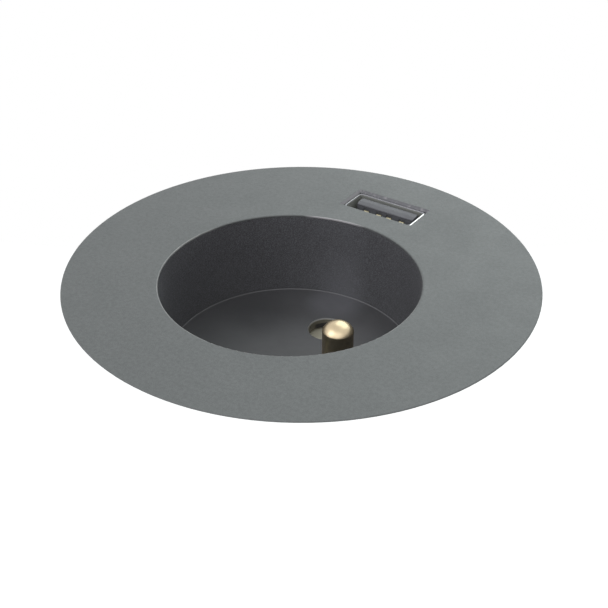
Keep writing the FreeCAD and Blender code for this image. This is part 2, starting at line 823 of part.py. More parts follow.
def child_shutter():
    """A two-armed blade that covers both entries and turns aside when two pins push its ramps."""
    bar = slab("shutter_half", "-pole_reach", "pole_reach", "shutter_low", "shutter_top")
    ends = ("pole_reach", "-pole_reach")
    tips = [rod("shutter_half", "shutter_low", "shutter_top", y=end) for end in ends]
    hub = rod("shutter_hub_r", "shutter_low", "shutter_top")
    ramps = []
    for turn, y in ((1, "pole_reach"), (-1, "-pole_reach")):
        ramp = doc.addObject("Part::Wedge", "Ramp")
        wide = "2 * shutter_half"
        near = "0" if turn < 0 else wide
        bind(ramp, Xmin="0", Xmax=wide, Zmin="0", Zmax=wide, Ymin="0", Ymax="shutter_ramp",
             X2min=near, X2max=near, Z2min="0", Z2max=wide)
        ramp.Placement.Rotation = FreeCAD.Rotation(FreeCAD.Vector(1, 0, 0), -90)
        ramps.append(bind(ramp, x="-shutter_half", y="%s - shutter_half" % y, z="shutter_top"))
    bore = rod("pivot_r + pivot_play", "shutter_low - over", "shutter_top + over")
    finish("child_shutter", cut(fuse(bar, hub, *tips), bore, *ramps), True)


def shutter_pivot():
    """An axle with a shoulder that carries the shutter clear of its spring."""
    body = turned(
        ("0", "skirt_low - pivot_seat"),
        ("pivot_r", "skirt_low - pivot_seat"),
        ("pivot_r", "skirt_low"),
        ("pivot_shoulder_r", "skirt_low"),
        ("pivot_shoulder_r", "shutter_low - fit_gap"),
        ("pivot_r", "shutter_low - fit_gap"),
        ("pivot_r", "floor_low - fit_gap"),
        ("0", "floor_low - fit_gap"),
    )
    finish("shutter_pivot", body, True)


def shutter_spring():
    """A torsion spring: turns of round wire about the pivot, and two straight legs."""
    body = new_body()
    sketch = body.newObject("Sketcher::SketchObject", "Wire")
    sketch.AttachmentSupport = [(origin_plane(body, "XZ_Plane"), "")]
    sketch.MapMode = "FlatFace"
    level = "skirt_low + fit_gap + spring_wire / 2"
    centre = FreeCAD.Vector(number("spring_r"), number(level), 0)
    sketch.addGeometry(Part.Circle(centre, FreeCAD.Vector(0, 0, 1), number("spring_wire / 2")))
    rules = (
        (Sketcher.Constraint("Radius", 0, number("spring_wire / 2")), "spring_wire / 2"),
        (Sketcher.Constraint("DistanceX", -1, 1, 0, 3, centre.x), "spring_r"),
        (Sketcher.Constraint("DistanceY", -1, 1, 0, 3, centre.y), level),
    )
    for rule, formula in rules:
        held = sketch.addConstraint(rule)
        sketch.setExpression("Constraints[%d]" % held, bound(formula))
    doc.recompute()
    wound = body.newObject("PartDesign::AdditiveHelix", "Turns")
    wound.Profile = sketch
    wound.ReferenceAxis = (sketch, ["V_Axis"])
    wound.Mode = "pitch-turns-angle"
    bind(wound, Pitch="spring_pitch", Turns="spring_turns")
    finish("shutter_spring", body, True)


def usb_shell():
    outer = port_hole("port_low", "port_top", "0")
    inner = slab("port_half_x", "port_offset - port_half_y", "port_offset + port_half_y",
                 "port_low + port_sheet", "port_top + over")
    finish("usb_shell", cut(outer, inner))


def usb_tongue():
    low = "port_low + port_sheet"
    base = slab("port_half_x", "port_offset - port_half_y", "port_offset + port_half_y",
                low, low + " + tongue_base")
    blade = slab("tongue_width / 2", "tongue_near", "tongue_far", low, "tongue_top")
    finish("usb_tongue", fuse(base, blade))


def usb_contacts():
    strips = []
    for x in ("-port_contact_outer", "-port_contact_inner", "port_contact_inner", "port_contact_outer"):
        strips.append(slab("port_contact_width / 2", "tongue_near - port_contact_proud", "tongue_near",
                           "port_low + port_sheet + tongue_base", "tongue_top - port_contact_start", x))
    finish("usb_contacts", group(*strips))


def riser_board():
    panel = slab("riser_width / 2", "riser_near", "riser_far", "board_top", "riser_top")
    tab = slab("riser_tab / 2", "riser_near", "riser_far", "tail_low", "board_top")
    finish("riser_board", fuse(panel, tab))


def main_board():
    disc = rod("board_r", "board_low", "board_top")
    holes = [slab("riser_tab / 2 + fit_gap", "riser_near - fit_gap", "riser_far + fit_gap",
                  "board_low - over", "board_top + over")]
    for x, y in board_boss_spots:
        holes.append(rod(screw_hole_r, "board_low - over", "board_top + over", x, y))
    for x, y in cover_boss_spots:
        holes.append(rod("boss_r + cover_gap", "board_low - over", "board_top + over", x, y))
    half = "earth_shank_r + 2 * contact_wall"
    slots = [block("earth_reach + 2 * (%s) - contact_wall - fit_gap" % half,
                   "earth_reach + 2 * (%s) + fit_gap" % half,
                   "-tail_width / 2 - fit_gap", "tail_width / 2 + fit_gap",
                   "board_low - over", "board_top + over")]
    for side in (1, -1):
        near, far = tail_spot(side)
        slots.append(slab("tail_width / 2 + fit_gap", near + " - fit_gap", far + " + fit_gap",
                          "board_low - over", "board_top + over"))
    socket_slots = group(*slots)
    bind(socket_slots, y="-recess_offset")
    socket_slots.setExpression("Placement.Rotation.Angle", bound("socket_turn"))
    finish("main_board", cut(disc, socket_slots, *holes))


def board_screws():
    screws = [screw(spot, "board_low", "board_top + screw_bite") for spot in board_boss_spots]
    finish("board_screws", group(*screws))


def rear_cover():
    disc = rod("core_r", "cover_low", "cover_top")
    lip_r = "lower_bore_r - cover_gap"
    lip = cut(
        rod(lip_r, "cover_top", "cover_top + cover_lip_height"),
        rod("%s - cover_lip" % lip_r, "cover_top - over", "cover_top + cover_lip_height + over"),
        *[rod("boss_r + cover_gap", "cover_top - over", "cover_top + cover_lip_height + over", x, y)
          for x, y in cover_boss_spots]
    )
    holes = [rod(screw_hole_r, "cover_low - over", "cover_top + over", x, y) for x, y in cover_boss_spots]
    holes.append(rod("gland_thread_r + fit_gap", "cover_low - over", "cover_top + over", y="-gland_offset"))
    finish("rear_cover", cut(fuse(disc, lip), *holes))


def cover_screws():
    screws = [screw(spot, "cover_low", "cover_top + screw_bite") for spot in cover_boss_spots]
    finish("cover_screws", group(*screws))


def gland_body():
    y = "-gland_offset"
    stem = rod("gland_thread_r", "gland_flange_low", "gland_stem_top", y=y)
    grip = hexagon("gland_hex_r", "gland_flange_low", "gland_washer_low", y=y)
    collar = rod("gland_collar_r", "gland_collar_low", "gland_flange_low", y=y)
    bore = rod("gland_bore_r", "gland_collar_low - over", "gland_stem_top + over", y=y)
    seat = rod("seal_r + fit_gap", "gland_collar_low - over", "gland_collar_low + gland_seal_height", y=y)
    finish("gland_body", cut(fuse(stem, grip, collar), bore, seat))


def gland_washer():
    y = "-gland_offset"
    disc = rod("gland_hex_r - gland_washer_thick", "gland_washer_low", "cover_low", y=y)
    bore = rod("gland_thread_r + fit_gap", "gland_washer_low - over", "cover_low + over", y=y)
    finish("gland_washer", cut(disc, bore))


def gland_locknut():
    y = "-gland_offset"
    grip = hexagon("gland_hex_r", "cover_top", "locknut_top", y=y)
    bore = rod("gland_thread_r + fit_gap", "cover_top - over", "locknut_top + over", y=y)
    finish("gland_locknut", cut(grip, bore))


def gland_seal():
    y = "-gland_offset"
    sleeve = rod("seal_r", "gland_collar_low", "gland_collar_low + gland_seal_height", y=y)
    bore = rod("cable_r", "gland_collar_low - over", "gland_collar_low + gland_seal_height + over", y=y)
    finish("gland_seal", cut(sleeve, bore))


def gland_nut():
    """A domed hexagon nut: a hexagon prism trimmed by a cone towards the cable."""
    y = "-gland_offset"
    grip = hexagon("gland_hex_r", "gland_nut_low", "gland_nut_top", y=y)
    mouth_r = "gland_bore_r + 2 * over"
    dome = cone(mouth_r, mouth_r + " + gland_nut_height", "gland_nut_low", "gland_nut_top", y=y)
    room = rod("gland_collar_r + fit_gap", "gland_collar_low", "gland_nut_top + over", y=y)
    bore = rod("gland_bore_r", "gland_nut_low - over", "gland_nut_top + over", y=y)
    finish("gland_nut", cut(common(grip, dome), room, bore))


def pole_spots():
    return ["%d * pole_pitch" % step for step in (-1, 0, 1)]


def terminal_block():
    """Three chambers side by side: a wire enters from the gland's side, a screw from below."""
    near = "block_y - block_depth / 2"
    far = "block_y + block_depth / 2"
    low = "board_low - block_height"
    roof = "board_low - 2 * clamp_wall"
    half = "clamp_width / 2 + fit_gap"
    body = slab("block_width / 2", near, far, low, "board_low")
    hollows = []
    for x in pole_spots():
        hollows.append(slab(half, near + " - over", "block_y + " + half, "clamp_low", roof, x))
        hollows.append(rod("screw_head_r + 4 * fit_gap", low + " - over", roof + " - over", x, "block_y"))
    finish("terminal_block", cut(body, *hollows))


def terminal_clamps():
    clamps = []
    high = "board_low - 2 * clamp_wall"
    for x in pole_spots():
        cage = slab("clamp_width / 2", "block_y - clamp_width / 2", "block_y + clamp_width / 2",
                    "clamp_low", high, x)
        window = slab("clamp_width / 2 - clamp_wall", "block_y - clamp_width", "block_y + clamp_width",
                      "clamp_low + clamp_wall", high + " - clamp_wall", x)
        hole = rod(screw_hole_r, "clamp_low - over", "clamp_low + clamp_wall + over", x, "block_y")
        clamps.append(cut(cage, window, hole))
    finish("terminal_clamps", group(*clamps))


def terminal_screws():
    seat = "board_low - block_height + screw_head_height + screw_sunk"
    screws = [screw((x, "block_y"), seat, seat + " + block_height / 4") for x in pole_spots()]
    finish("terminal_screws", group(*screws))


def core_limits():
    return {
        "x0": "core_x - core_width / 2", "x1": "core_x + core_width / 2",
        "y0": "core_y - core_depth / 2", "y1": "core_y + core_depth / 2",
        "z0": "board_low - core_height", "z1": "board_low",
    }


def transformer_core():
    outer = block(**core_limits())
    windows = []
    for side in (-1, 1):
        inner = "core_x + %d * core_leg" % side
        edge = "core_x + %d * (core_width / 2 - core_leg)" % side
        west, east = (edge, inner) if side < 0 else (inner, edge)
        windows.append(block(west, east, "core_y - core_depth", "core_y + core_depth",
                             "board_low - core_height + core_yoke", "board_low - core_yoke"))
    finish("transformer_core", cut(outer, *windows))


def transformer_winding():
    """A wound bobbin that fills both windows of the core round its middle leg."""
    low = "board_low - core_height + core_yoke + winding_gap"
    high = "board_low - core_yoke - winding_gap"
    outer = slab("core_width / 2 - core_leg - winding_gap", "core_y - core_depth / 2 - winding_reach",
                 "core_y + core_depth / 2 + winding_reach", low, high, "core_x")
    leg = slab("core_leg + winding_gap", "core_y - core_depth / 2 - winding_gap",
               "core_y + core_depth / 2 + winding_gap", low + " - over", high + " + over", "core_x")
    finish("transformer_winding", cut(outer, leg))


def can(radius, height, x, y):
    """An upright capacitor can on its rubber foot, with a groove above the foot."""
    low = "board_low - %s" % height
    foot = rod("%s - can_round / 2" % radius, "board_low - can_foot", "board_low", x, y)
    wall = rod(radius, low + " + can_round", "board_low - can_foot", x, y)
    end = cone("%s - can_round" % radius, radius, low, low + " + can_round", x, y)
    return fuse(foot, wall, end)


def input_capacitor():
    finish("input_capacitor", can("input_can_r", "input_can_height", "input_can_x", "input_can_y"))


def output_capacitors():
    cans = [can("output_can_r", "output_can_height", x, "output_can_y")
            for x in ("output_can_x", "-output_can_x")]
    finish("output_capacitors", group(*cans))


def fuse_body():
    finish("fuse", can("fuse_r", "fuse_height", "fuse_x", "fuse_y"))


def varistor():
    """A coated disc that stands on two leads."""
    made = doc.addObject("Part::Cylinder", "Disc")
    bind(made, Radius="varistor_r", Height="varistor_thick", x="varistor_x",
         y="varistor_y + varistor_thick / 2", z="board_low - varistor_stand - varistor_r")
    made.Placement.Rotation = FreeCAD.Rotation(FreeCAD.Vector(1, 0, 0), 90)
    leads = [rod("lead_r", "board_low - varistor_stand - varistor_r", "board_low", x, "varistor_y")
             for x in ("varistor_x - varistor_r / 2", "varistor_x + varistor_r / 2")]
    finish("varistor", fuse(made, *leads))


def bridge_rectifier():
    finish("bridge_rectifier", slab("bridge_width / 2", "bridge_y - bridge_depth / 2",
                                    "bridge_y + bridge_depth / 2", "board_top", "board_top + bridge_height",
                                    "bridge_x"))


def controller_chip():
    finish("controller_chip", slab("chip_width / 2", "riser_far", "riser_far + chip_thick",
                                   "-chip_drop - chip_height", "-chip_drop"))


def output_inductor():
    finish("output_inductor", slab("coil_width / 2", "riser_near - coil_thick", "riser_near",
                                   "-coil_drop - coil_width / 2", "-coil_drop + coil_width / 2"))


faceplate()
plate_adhesive()
flange_gasket()
barrel_housing()
clamp_washer()
ring_nut()
socket_cup()
cup_screws()
earth_pin()
earth_strap()
contact_carrier()
carrier_screws()
carrier_plate()
pole_contact("line_contact", 1)
pole_contact("neutral_contact", -1)
contact_clips()
child_shutter()
shutter_pivot()
shutter_spring()
usb_shell()
usb_tongue()
usb_contacts()
riser_board()
main_board()
board_screws()
rear_cover()
cover_screws()
gland_body()
gland_washer()
gland_locknut()
gland_seal()
gland_nut()
terminal_block()
terminal_clamps()
terminal_screws()
transformer_core()
transformer_winding()
input_capacitor()
output_capacitors()
fuse_body()
varistor()
bridge_rectifier()
controller_chip()
output_inductor()
doc.recompute()

for thing in doc.Objects:
    if "Invalid" in thing.State or "Error" in thing.State:
        raise RuntimeError("%s (%s) failed: %s" % (thing.Name, thing.Label, thing.State))
for thing in finished:
    if thing.Shape.isNull() or not thing.Shape.isValid() or not thing.Shape.Solids:
        raise RuntimeError("%s has no valid shape" % thing.Label)

os.makedirs("parts", exist_ok=True)
for thing in finished:
    thing.Shape.exportStep("parts/%s.step" % thing.Label)
    print(thing.Label, len(thing.Shape.Solids), round(thing.Shape.Volume, 3))
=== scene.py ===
import json
import math

import bpy
import numpy as np
from mathutils import Matrix, Vector


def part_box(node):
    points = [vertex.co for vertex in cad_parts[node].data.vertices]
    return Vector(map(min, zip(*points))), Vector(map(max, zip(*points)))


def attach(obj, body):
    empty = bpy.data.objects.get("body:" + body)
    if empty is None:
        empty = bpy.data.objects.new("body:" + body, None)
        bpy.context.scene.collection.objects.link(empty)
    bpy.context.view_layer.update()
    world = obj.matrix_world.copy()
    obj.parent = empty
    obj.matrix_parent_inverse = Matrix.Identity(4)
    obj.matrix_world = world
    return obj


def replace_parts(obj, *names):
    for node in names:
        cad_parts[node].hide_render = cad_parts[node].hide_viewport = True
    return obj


# In-desk power module, seen as it sits flush in a white desk. Everything is in metres.

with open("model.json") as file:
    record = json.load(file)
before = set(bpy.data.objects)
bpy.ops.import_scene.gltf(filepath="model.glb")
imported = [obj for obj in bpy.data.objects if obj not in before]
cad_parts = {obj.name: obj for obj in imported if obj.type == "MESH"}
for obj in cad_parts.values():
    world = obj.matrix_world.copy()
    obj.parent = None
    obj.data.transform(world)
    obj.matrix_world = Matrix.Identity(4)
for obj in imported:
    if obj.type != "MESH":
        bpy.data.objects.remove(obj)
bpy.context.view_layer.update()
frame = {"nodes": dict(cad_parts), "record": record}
MM = 0.001

# The faceplate, and the recess, whose radius and floor the boxes don't give
PLATE_R, _, PLATE_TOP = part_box("faceplate")[1]
RECESS_R = 20.0 * MM
RECESS_Y = -3.1 * MM
RECESS_FLOOR = PLATE_TOP - 14.5 * MM

# The two contact entries in the recess's floor
ENTRIES = [(0.6958 * MM, 6.3745 * MM), (-0.6958 * MM, -12.5745 * MM)]
ENTRY_R = 3.0 * MM
ENTRY_BEVEL_R = 3.2 * MM

# Soft patches painted on the recess's plastic: a painted light at the back, and a painted shade and a
# painted light on the floor. Each is x, y, and the radii from where to where it fades out
PAINTED_BACK_LIGHT = (-2.4 * MM, 13.7 * MM, 2.0 * MM, 6.5 * MM)
PAINTED_SHADE_PATCH = (-10.5 * MM, 3.0 * MM, 1.5 * MM, 8.0 * MM)
PAINTED_LIGHT_PATCH = (4.5 * MM, 5.5 * MM, 3.0 * MM, 10.5 * MM)

# The earthing pin: its crown meets the round shoulder at PIN_LEAN, and its shank's end is peened
PIN_LOW, PIN_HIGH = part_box("earth_pin")
PIN_R = 2.4 * MM
PIN_LEAN = math.radians(60)
PIN_SHOULDER = 0.35 * MM
PIN_NECK_R = 2.2 * MM
PIN_COLLAR_R = 3.0 * MM
PIN_COLLAR_TOP = RECESS_FLOOR - 1.6 * MM
PIN_COLLAR_FOOT = RECESS_FLOOR - 3.0 * MM
PIN_SHANK_R = 2.0 * MM
PIN_PEEN = 0.15 * MM

# The charging port's sheet metal shell
SHELL_LOW, SHELL_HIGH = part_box("usb_shell")
PORT_X = (SHELL_LOW[0] + SHELL_HIGH[0]) / 2
PORT_Y = (SHELL_LOW[1] + SHELL_HIGH[1]) / 2
SHELL_HALF_X = (SHELL_HIGH[0] - SHELL_LOW[0]) / 2
SHELL_HALF_Y = (SHELL_HIGH[1] - SHELL_LOW[1]) / 2
SHELL_FOOT, SHELL_TOP = SHELL_LOW[2], SHELL_HIGH[2]
SHEET = 0.3 * MM
SHELL_CORNER = 0.75 * MM
LIP_RISE = 0.06 * MM
BULGES_X = (-3.2 * MM, 3.2 * MM)
BULGE_LEVEL = SHELL_TOP - 4.2 * MM
BULGE_HALF_X, BULGE_HALF_Z = 1.0 * MM, 2.0 * MM
BULGE_DEPTH = 0.3 * MM

# The port's contacts and tongue; the tongue stands on a block that fills the shell
CONTACTS_LOW, CONTACTS_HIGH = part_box("usb_contacts")
CONTACTS_X = [place * MM for place in (-3.5, -1.0, 1.0, 3.5)]
CONTACT_WIDTH = 1.0 * MM
CONTACT_THICK = 0.2 * MM
CONTACT_EDGE = 0.06 * MM
CONTACT_BEND = 0.22 * MM
CONTACT_SUNK = 0.14 * MM
TONGUE_LOW, TONGUE_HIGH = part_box("usb_tongue")
TONGUE_HALF_X = 5.55 * MM
TONGUE_HALF_Y = 1.0 * MM
TONGUE_Y = CONTACTS_HIGH[1] + TONGUE_HALF_Y
TONGUE_CORNER = 0.3 * MM
TONGUE_EDGE = 0.12 * MM
LEAD_IN = 0.85 * MM
LEAD_DROP = 0.22 * MM
GROOVE_HALF = 0.62 * MM
GROOVE_WALL = 0.08 * MM
GROOVE_DEPTH = 0.18 * MM
BLOCK_TOP = CONTACTS_LOW[2]
BLOCK_CORNER = 0.45 * MM

# The ring nut's ribs. LUG_TURN and RIB_TURN are degrees from one lug or rib to the next, and RIB_HALF is
# half a rib's width as a share of RIB_TURN.
NUT_LOW, NUT_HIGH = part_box("ring_nut")
NUT_R = 34.0 * MM
LUG_TURN = 30
RIB_TURN = 3
RIBS_IN_GAP = 5
RIB_HALF = 0.33
RIB_PROUD = 0.45 * MM
RIB_SUNK = 0.1 * MM
RIB_ROOT = 0.6 * MM
RIB_ENDS = 0.9 * MM

# The rear cover's rim and screw seats: radii inside and out, and the moulding's slope and round edge
COVER_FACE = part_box("rear_cover")[0][2]
COVER_RIM = (25.7 * MM, 27.2 * MM)
COVER_SCREW_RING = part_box("cover_screws")[1][1] - 1.9 * MM
COVER_SCREW_ANGLES = (90, 210, 330)
SEAT_RIM = (2.3 * MM, 3.1 * MM)
RELIEF_ROOT = 0.3 * MM
RELIEF_SLOPE = 0.05 * MM
RELIEF_EDGE = 0.12 * MM

# The camera's place and axes; its azimuth is in degrees from -Y
CAMERA_PLACE = (75.407 * MM, -109.148 * MM, 83.122 * MM)
CAMERA_RIGHT = (0.824107, 0.566433, 0.000803)
CAMERA_UP = (-0.311114, 0.451455, 0.836299)
CAMERA_SENSOR = 36.0
CAMERA_LENS = 59.598
CAMERA_AZIMUTH = 34.6

# Soft lights: name, azimuth from the camera's, elevation, distance, size, watts and colour
LIGHTS = (
    ("key", 150, 38, 0.36, 0.36, 0.6, (0.9, 1.0, 0.98)),
    ("side", -65, 40, 0.6, 0.35, 0.98, (0.97, 0.98, 1.0)),
    ("front", 0, 40, 0.6, 0.5, 0.62, (0.97, 0.98, 1.0)),
)
WORLD_LIGHT = 0.3

# The desk: a part ring on the camera's side, DESK_HALF_TURN degrees each way. Its glow makes up for the
# shade near the plate and makes it fully white further out.
DESK_TOP = PLATE_TOP - 0.12 * MM
DESK_HOLE_R = PLATE_R - 0.2 * MM
DESK_REACH = 1.2
DESK_HALF_TURN = 100
DESK_COLOUR = 0.9
DESK_GLOW = 0.45
DESK_GLOW_FADE = (2.0 * PLATE_R, 5.0 * PLATE_R)


# Shader nodes: short words for adding and joining them

def join(tree, socket, value):
    """Joins a socket to another one, or sets it to a constant."""
    if isinstance(value, bpy.types.NodeSocket):
        tree.links.new(value, socket)
    else:
        socket.default_value = value


def join_named(tree, sockets, inputs):
    """Joins or sets sockets by name; underscores stand for spaces."""
    for key, value in inputs.items():
        join(tree, sockets[key.replace("_", " ")], value)


def node(tree, kind, inputs=None, **settings):
    """Adds a node; each input is a constant or a socket to join to it."""
    made = tree.nodes.new(kind)
    for key, value in settings.items():
        setattr(made, key, value)
    for key, value in (inputs or {}).items():
        join(tree, made.inputs[key], value)
    return made


def maths(tree, operation, *values):
    """One step of arithmetic on numbers."""
    return node(tree, "ShaderNodeMath", dict(enumerate(values)), operation=operation).outputs[0]


def vector_maths(tree, operation, *values):
    """One step of arithmetic on vectors; gives the node's outputs."""
    return node(tree, "ShaderNodeVectorMath", dict(enumerate(values)), operation=operation).outputs


def product(tree, first, *others):
    """Numbers multiplied together."""
    for value in others:
        first = maths(tree, "MULTIPLY", first, value)
    return first


def opposite(tree, mask):
    """0 where the mask is 1, and 1 where it is 0."""
    return maths(tree, "SUBTRACT", 1.0, mask)


def offset(tree, value, middle):
    """How far a number is from a middle one, either way."""
    return maths(tree, "ABSOLUTE", maths(tree, "SUBTRACT", value, middle))


def map_range(tree, value, low, high, to_low=0.0, to_high=1.0, smooth=False):
    """Goes from to_low to to_high as the value goes from low to high, and stays there beyond."""
    kind = "SMOOTHSTEP" if smooth else "LINEAR"
    inputs = {"Value": value, "From Min": low, "From Max": high, "To Min": to_low, "To Max": to_high}
    return node(tree, "ShaderNodeMapRange", inputs, interpolation_type=kind).outputs["Result"]


def rises(tree, value, low, high):
    """0 up to the low value, and 1 from the high one."""
    return map_range(tree, value, low, high)


def falls(tree, value, low, high):
    """1 up to the low value, and 0 from the high one."""
    return map_range(tree, value, low, high, 1.0, 0.0)


def between(tree, mask, at_0, at_1):
    """One value where the mask is 0, another where it is 1."""
    return map_range(tree, mask, 0.0, 1.0, at_0, at_1)


def mix_colour(tree, factor, first, second):
    """The first colour where the factor is 0, the second where it is 1."""
    return node(tree, "ShaderNodeMix", {0: factor, 6: first, 7: second}, data_type="RGBA").outputs[2]


def rgb(red, green, blue):
    """An opaque colour."""
    return (red, green, blue, 1.0)


def scaled(colour, factor, extra=0.0):
    """A colour made lighter or darker all through."""
    return rgb(*[min(1.0, part * factor + extra) for part in colour])


def place_of(tree):
    """The point being shaded, in the module's own frame and in metres."""
    return node(tree, "ShaderNodeTexCoord").outputs["Object"]


def split_place(tree):
    """The shaded point's X, Y and Z."""
    return node(tree, "ShaderNodeSeparateXYZ", {0: place_of(tree)}).outputs


def noise(tree, scale, detail=2.0, rough=0.5, place=None):
    """Random drifts about 0.5, this many to the metre."""
    inputs = {"Vector": place or place_of(tree), "Scale": scale, "Detail": detail, "Roughness": rough}
    return node(tree, "ShaderNodeTexNoise", inputs).outputs["Fac"]


def axis_distance(tree, x, y):
    """How far the shaded point is from an upright axis."""
    level = vector_maths(tree, "MULTIPLY", place_of(tree), (1.0, 1.0, 0.0))[0]
    return vector_maths(tree, "DISTANCE", level, (x, y, 0.0))["Value"]


def patch(tree, x, y, full, gone):
    """1 round an upright axis, with a soft fade to 0 between two radii."""
    return map_range(tree, axis_distance(tree, x, y), full, gone, 1.0, 0.0, smooth=True)


def toward(tree, x, y, radius, degrees):
    """1 where the shaded point lies this way from an upright axis at this radius, and -1 opposite."""
    turn = math.radians(degrees)
    way = (math.cos(turn) / radius, math.sin(turn) / radius, 0.0)
    aside = vector_maths(tree, "SUBTRACT", place_of(tree), (x, y, 0.0))[0]
    return vector_maths(tree, "DOT_PRODUCT", aside, way)["Value"]


def eased(tree, radius=0.05 * MM):
    """The surface's normal, with its sharp edges rounded off to a radius."""
    return node(tree, "ShaderNodeBevel", {"Radius": radius}, samples=4).outputs[0]


# Effects that several finishes share

def group(name, inputs, outputs):
    """A node group with these sockets; gives the tree, its input node's sockets and its output node's."""
    tree = bpy.data.node_groups.new(name, "ShaderNodeTree")
    for label, kind in inputs.items():
        tree.interface.new_socket(label, in_out="INPUT", socket_type="NodeSocket" + kind)
    for label, kind in outputs.items():
        tree.interface.new_socket(label, in_out="OUTPUT", socket_type="NodeSocket" + kind)
    given = tree.nodes.new("NodeGroupInput").outputs
    wanted = tree.nodes.new("NodeGroupOutput").inputs
    return tree, given, wanted


def give_relief(tree, given, wanted, height):
    """Puts out a height, and the normal that it bends by the group's own depth."""
    inputs = {"Height": height, "Distance": given["Depth"], "Normal": given["Normal"]}
    tree.links.new(height, wanted["Value"])
    tree.links.new(node(tree, "ShaderNodeBump", inputs).outputs["Normal"], wanted["Normal"])


def make_mottle():
    """Slow drifts of lightness over a colour, as paint and mouldings have."""
    tree, given, wanted = group("mottle", {"Colour": "Color", "Amount": "Float", "Size": "Float"},
                                {"Colour": "Color"})
    drift = noise(tree, maths(tree, "DIVIDE", 1.0, given["Size"]), 3.0, 0.6)
    low = maths(tree, "SUBTRACT", 1.0, given["Amount"])
    high = maths(tree, "ADD", 1.0, given["Amount"])
    level = map_range(tree, drift, 0.3, 0.7, low, high)
    drifted = node(tree, "ShaderNodeVectorMath", {0: given["Colour"], "Scale": level}, operation="SCALE")
    tree.links.new(drifted.outputs[0], wanted["Colour"])
    return tree


def make_grain():
    """Fine random relief, with broad and fine bumps together; Value is its height from 0 to 1."""
    tree, given, wanted = group("grain", {"Size": "Float", "Depth": "Float", "Normal": "Vector"},
                                {"Value": "Float", "Normal": "Vector"})
    fine = noise(tree, maths(tree, "DIVIDE", 1.0, given["Size"]), 2.0)
    broad = noise(tree, maths(tree, "DIVIDE", 0.3, given["Size"]), 1.0)
    height = maths(tree, "ADD", product(tree, fine, 0.65), product(tree, broad, 0.35))
    give_relief(tree, given, wanted, height)
    return tree


def make_smudge():
    """Patches of handling that raise and lower the roughness."""
    tree, given, wanted = group("smudge", {"Roughness": "Float", "Spread": "Float", "Size": "Float"},
                                {"Roughness": "Float"})
    handled = noise(tree, maths(tree, "DIVIDE", 1.0, given["Size"]), 4.0, 0.65)
    low = maths(tree, "SUBTRACT", given["Roughness"], given["Spread"])
    high = maths(tree, "ADD", given["Roughness"], given["Spread"])
    tree.links.new(map_range(tree, handled, 0.35, 0.65, low, high), wanted["Roughness"])
    return tree


def make_edge_wear():
    """1 along outer edges that wear, and 0 elsewhere, broken up by noise."""
    tree, given, wanted = group("edge_wear", {"Radius": "Float", "Amount": "Float"}, {"Mask": "Float"})
    true_normal = node(tree, "ShaderNodeNewGeometry").outputs["Normal"]
    facing = vector_maths(tree, "DOT_PRODUCT", true_normal, eased(tree, given["Radius"]))["Value"]
    edge = falls(tree, facing, 0.9, 0.999)
    broken = rises(tree, noise(tree, maths(tree, "DIVIDE", 0.6, given["Radius"]), 4.0, 0.7), 0.35, 0.65)
    tree.links.new(product(tree, edge, broken, given["Amount"]), wanted["Mask"])
    return tree


def make_brushed():
    """Long fine scratches; Along is how many of them there are to the metre along x, y and z."""
    tree, given, wanted = group("brushed", {"Along": "Vector", "Depth": "Float", "Normal": "Vector"},
                                {"Value": "Float", "Normal": "Vector"})
    stretched = vector_maths(tree, "MULTIPLY", place_of(tree), given["Along"])[0]
    give_relief(tree, given, wanted, noise(tree, 1.0, 3.0, 0.6, stretched))
    return tree


MOTTLE, GRAIN, SMUDGE = make_mottle(), make_grain(), make_smudge()
EDGE_WEAR, BRUSHED = make_edge_wear(), make_brushed()
UPRIGHT_LINES = (900.0, 900.0, 60.0)
LEVEL_LINES = (500.0, 500.0, 3000.0)
TURNED_LINES = (150.0, 150.0, 9000.0)


def use(tree, effect, **inputs):
    """One of the shared effects, with its sockets set."""
    made = node(tree, "ShaderNodeGroup", node_tree=effect)
    join_named(tree, made.inputs, inputs)
    return made.outputs


# The finishes

def empty_material(name):
    """A material without nodes; gives it and its tree."""
    made = bpy.data.materials.new(name)
    made.use_nodes = True
    made.node_tree.nodes.clear()
    return made, made.node_tree


def start_material(name):
    """A material with its surface shader; gives the material, its tree and the shader."""
    made, tree = empty_material(name)
    shader = node(tree, "ShaderNodeBsdfPrincipled")
    node(tree, "ShaderNodeOutputMaterial", {"Surface": shader.outputs[0]})
    return made, tree, shader


def connect(tree, shader, **inputs):
    """Sets or joins the shader's own sockets."""
    join_named(tree, shader.inputs, inputs)


def moulded(name, colour, rough, grain, depth, mottle, coat=0.0):
    """A moulded, cast or coated finish: mottled colour, grain, uneven roughness and paler edges where it
    wears. The grain's size and depth are in millimetres."""
    made, tree, shader = start_material(name)
    tone = use(tree, MOTTLE, Colour=rgb(*colour), Amount=mottle, Size=9 * MM)["Colour"]
    relief = use(tree, GRAIN, Size=grain * MM, Depth=depth * MM, Normal=eased(tree))
    raised = map_range(tree, relief["Value"], 0.35, 0.65, 0.0, 0.12)
    tone = mix_colour(tree, raised, tone, scaled(colour, 1.7, 0.02))
    mask = use(tree, EDGE_WEAR, Radius=0.15 * MM, Amount=0.5)["Mask"]
    tone = mix_colour(tree, mask, tone, scaled(colour, 1.6, 0.03))
    surface = use(tree, SMUDGE, Roughness=rough, Spread=0.08, Size=6 * MM)["Roughness"]
    connect(tree, shader, Base_Color=tone, Roughness=surface, Normal=relief["Normal"], Coat_Weight=coat)
    return made


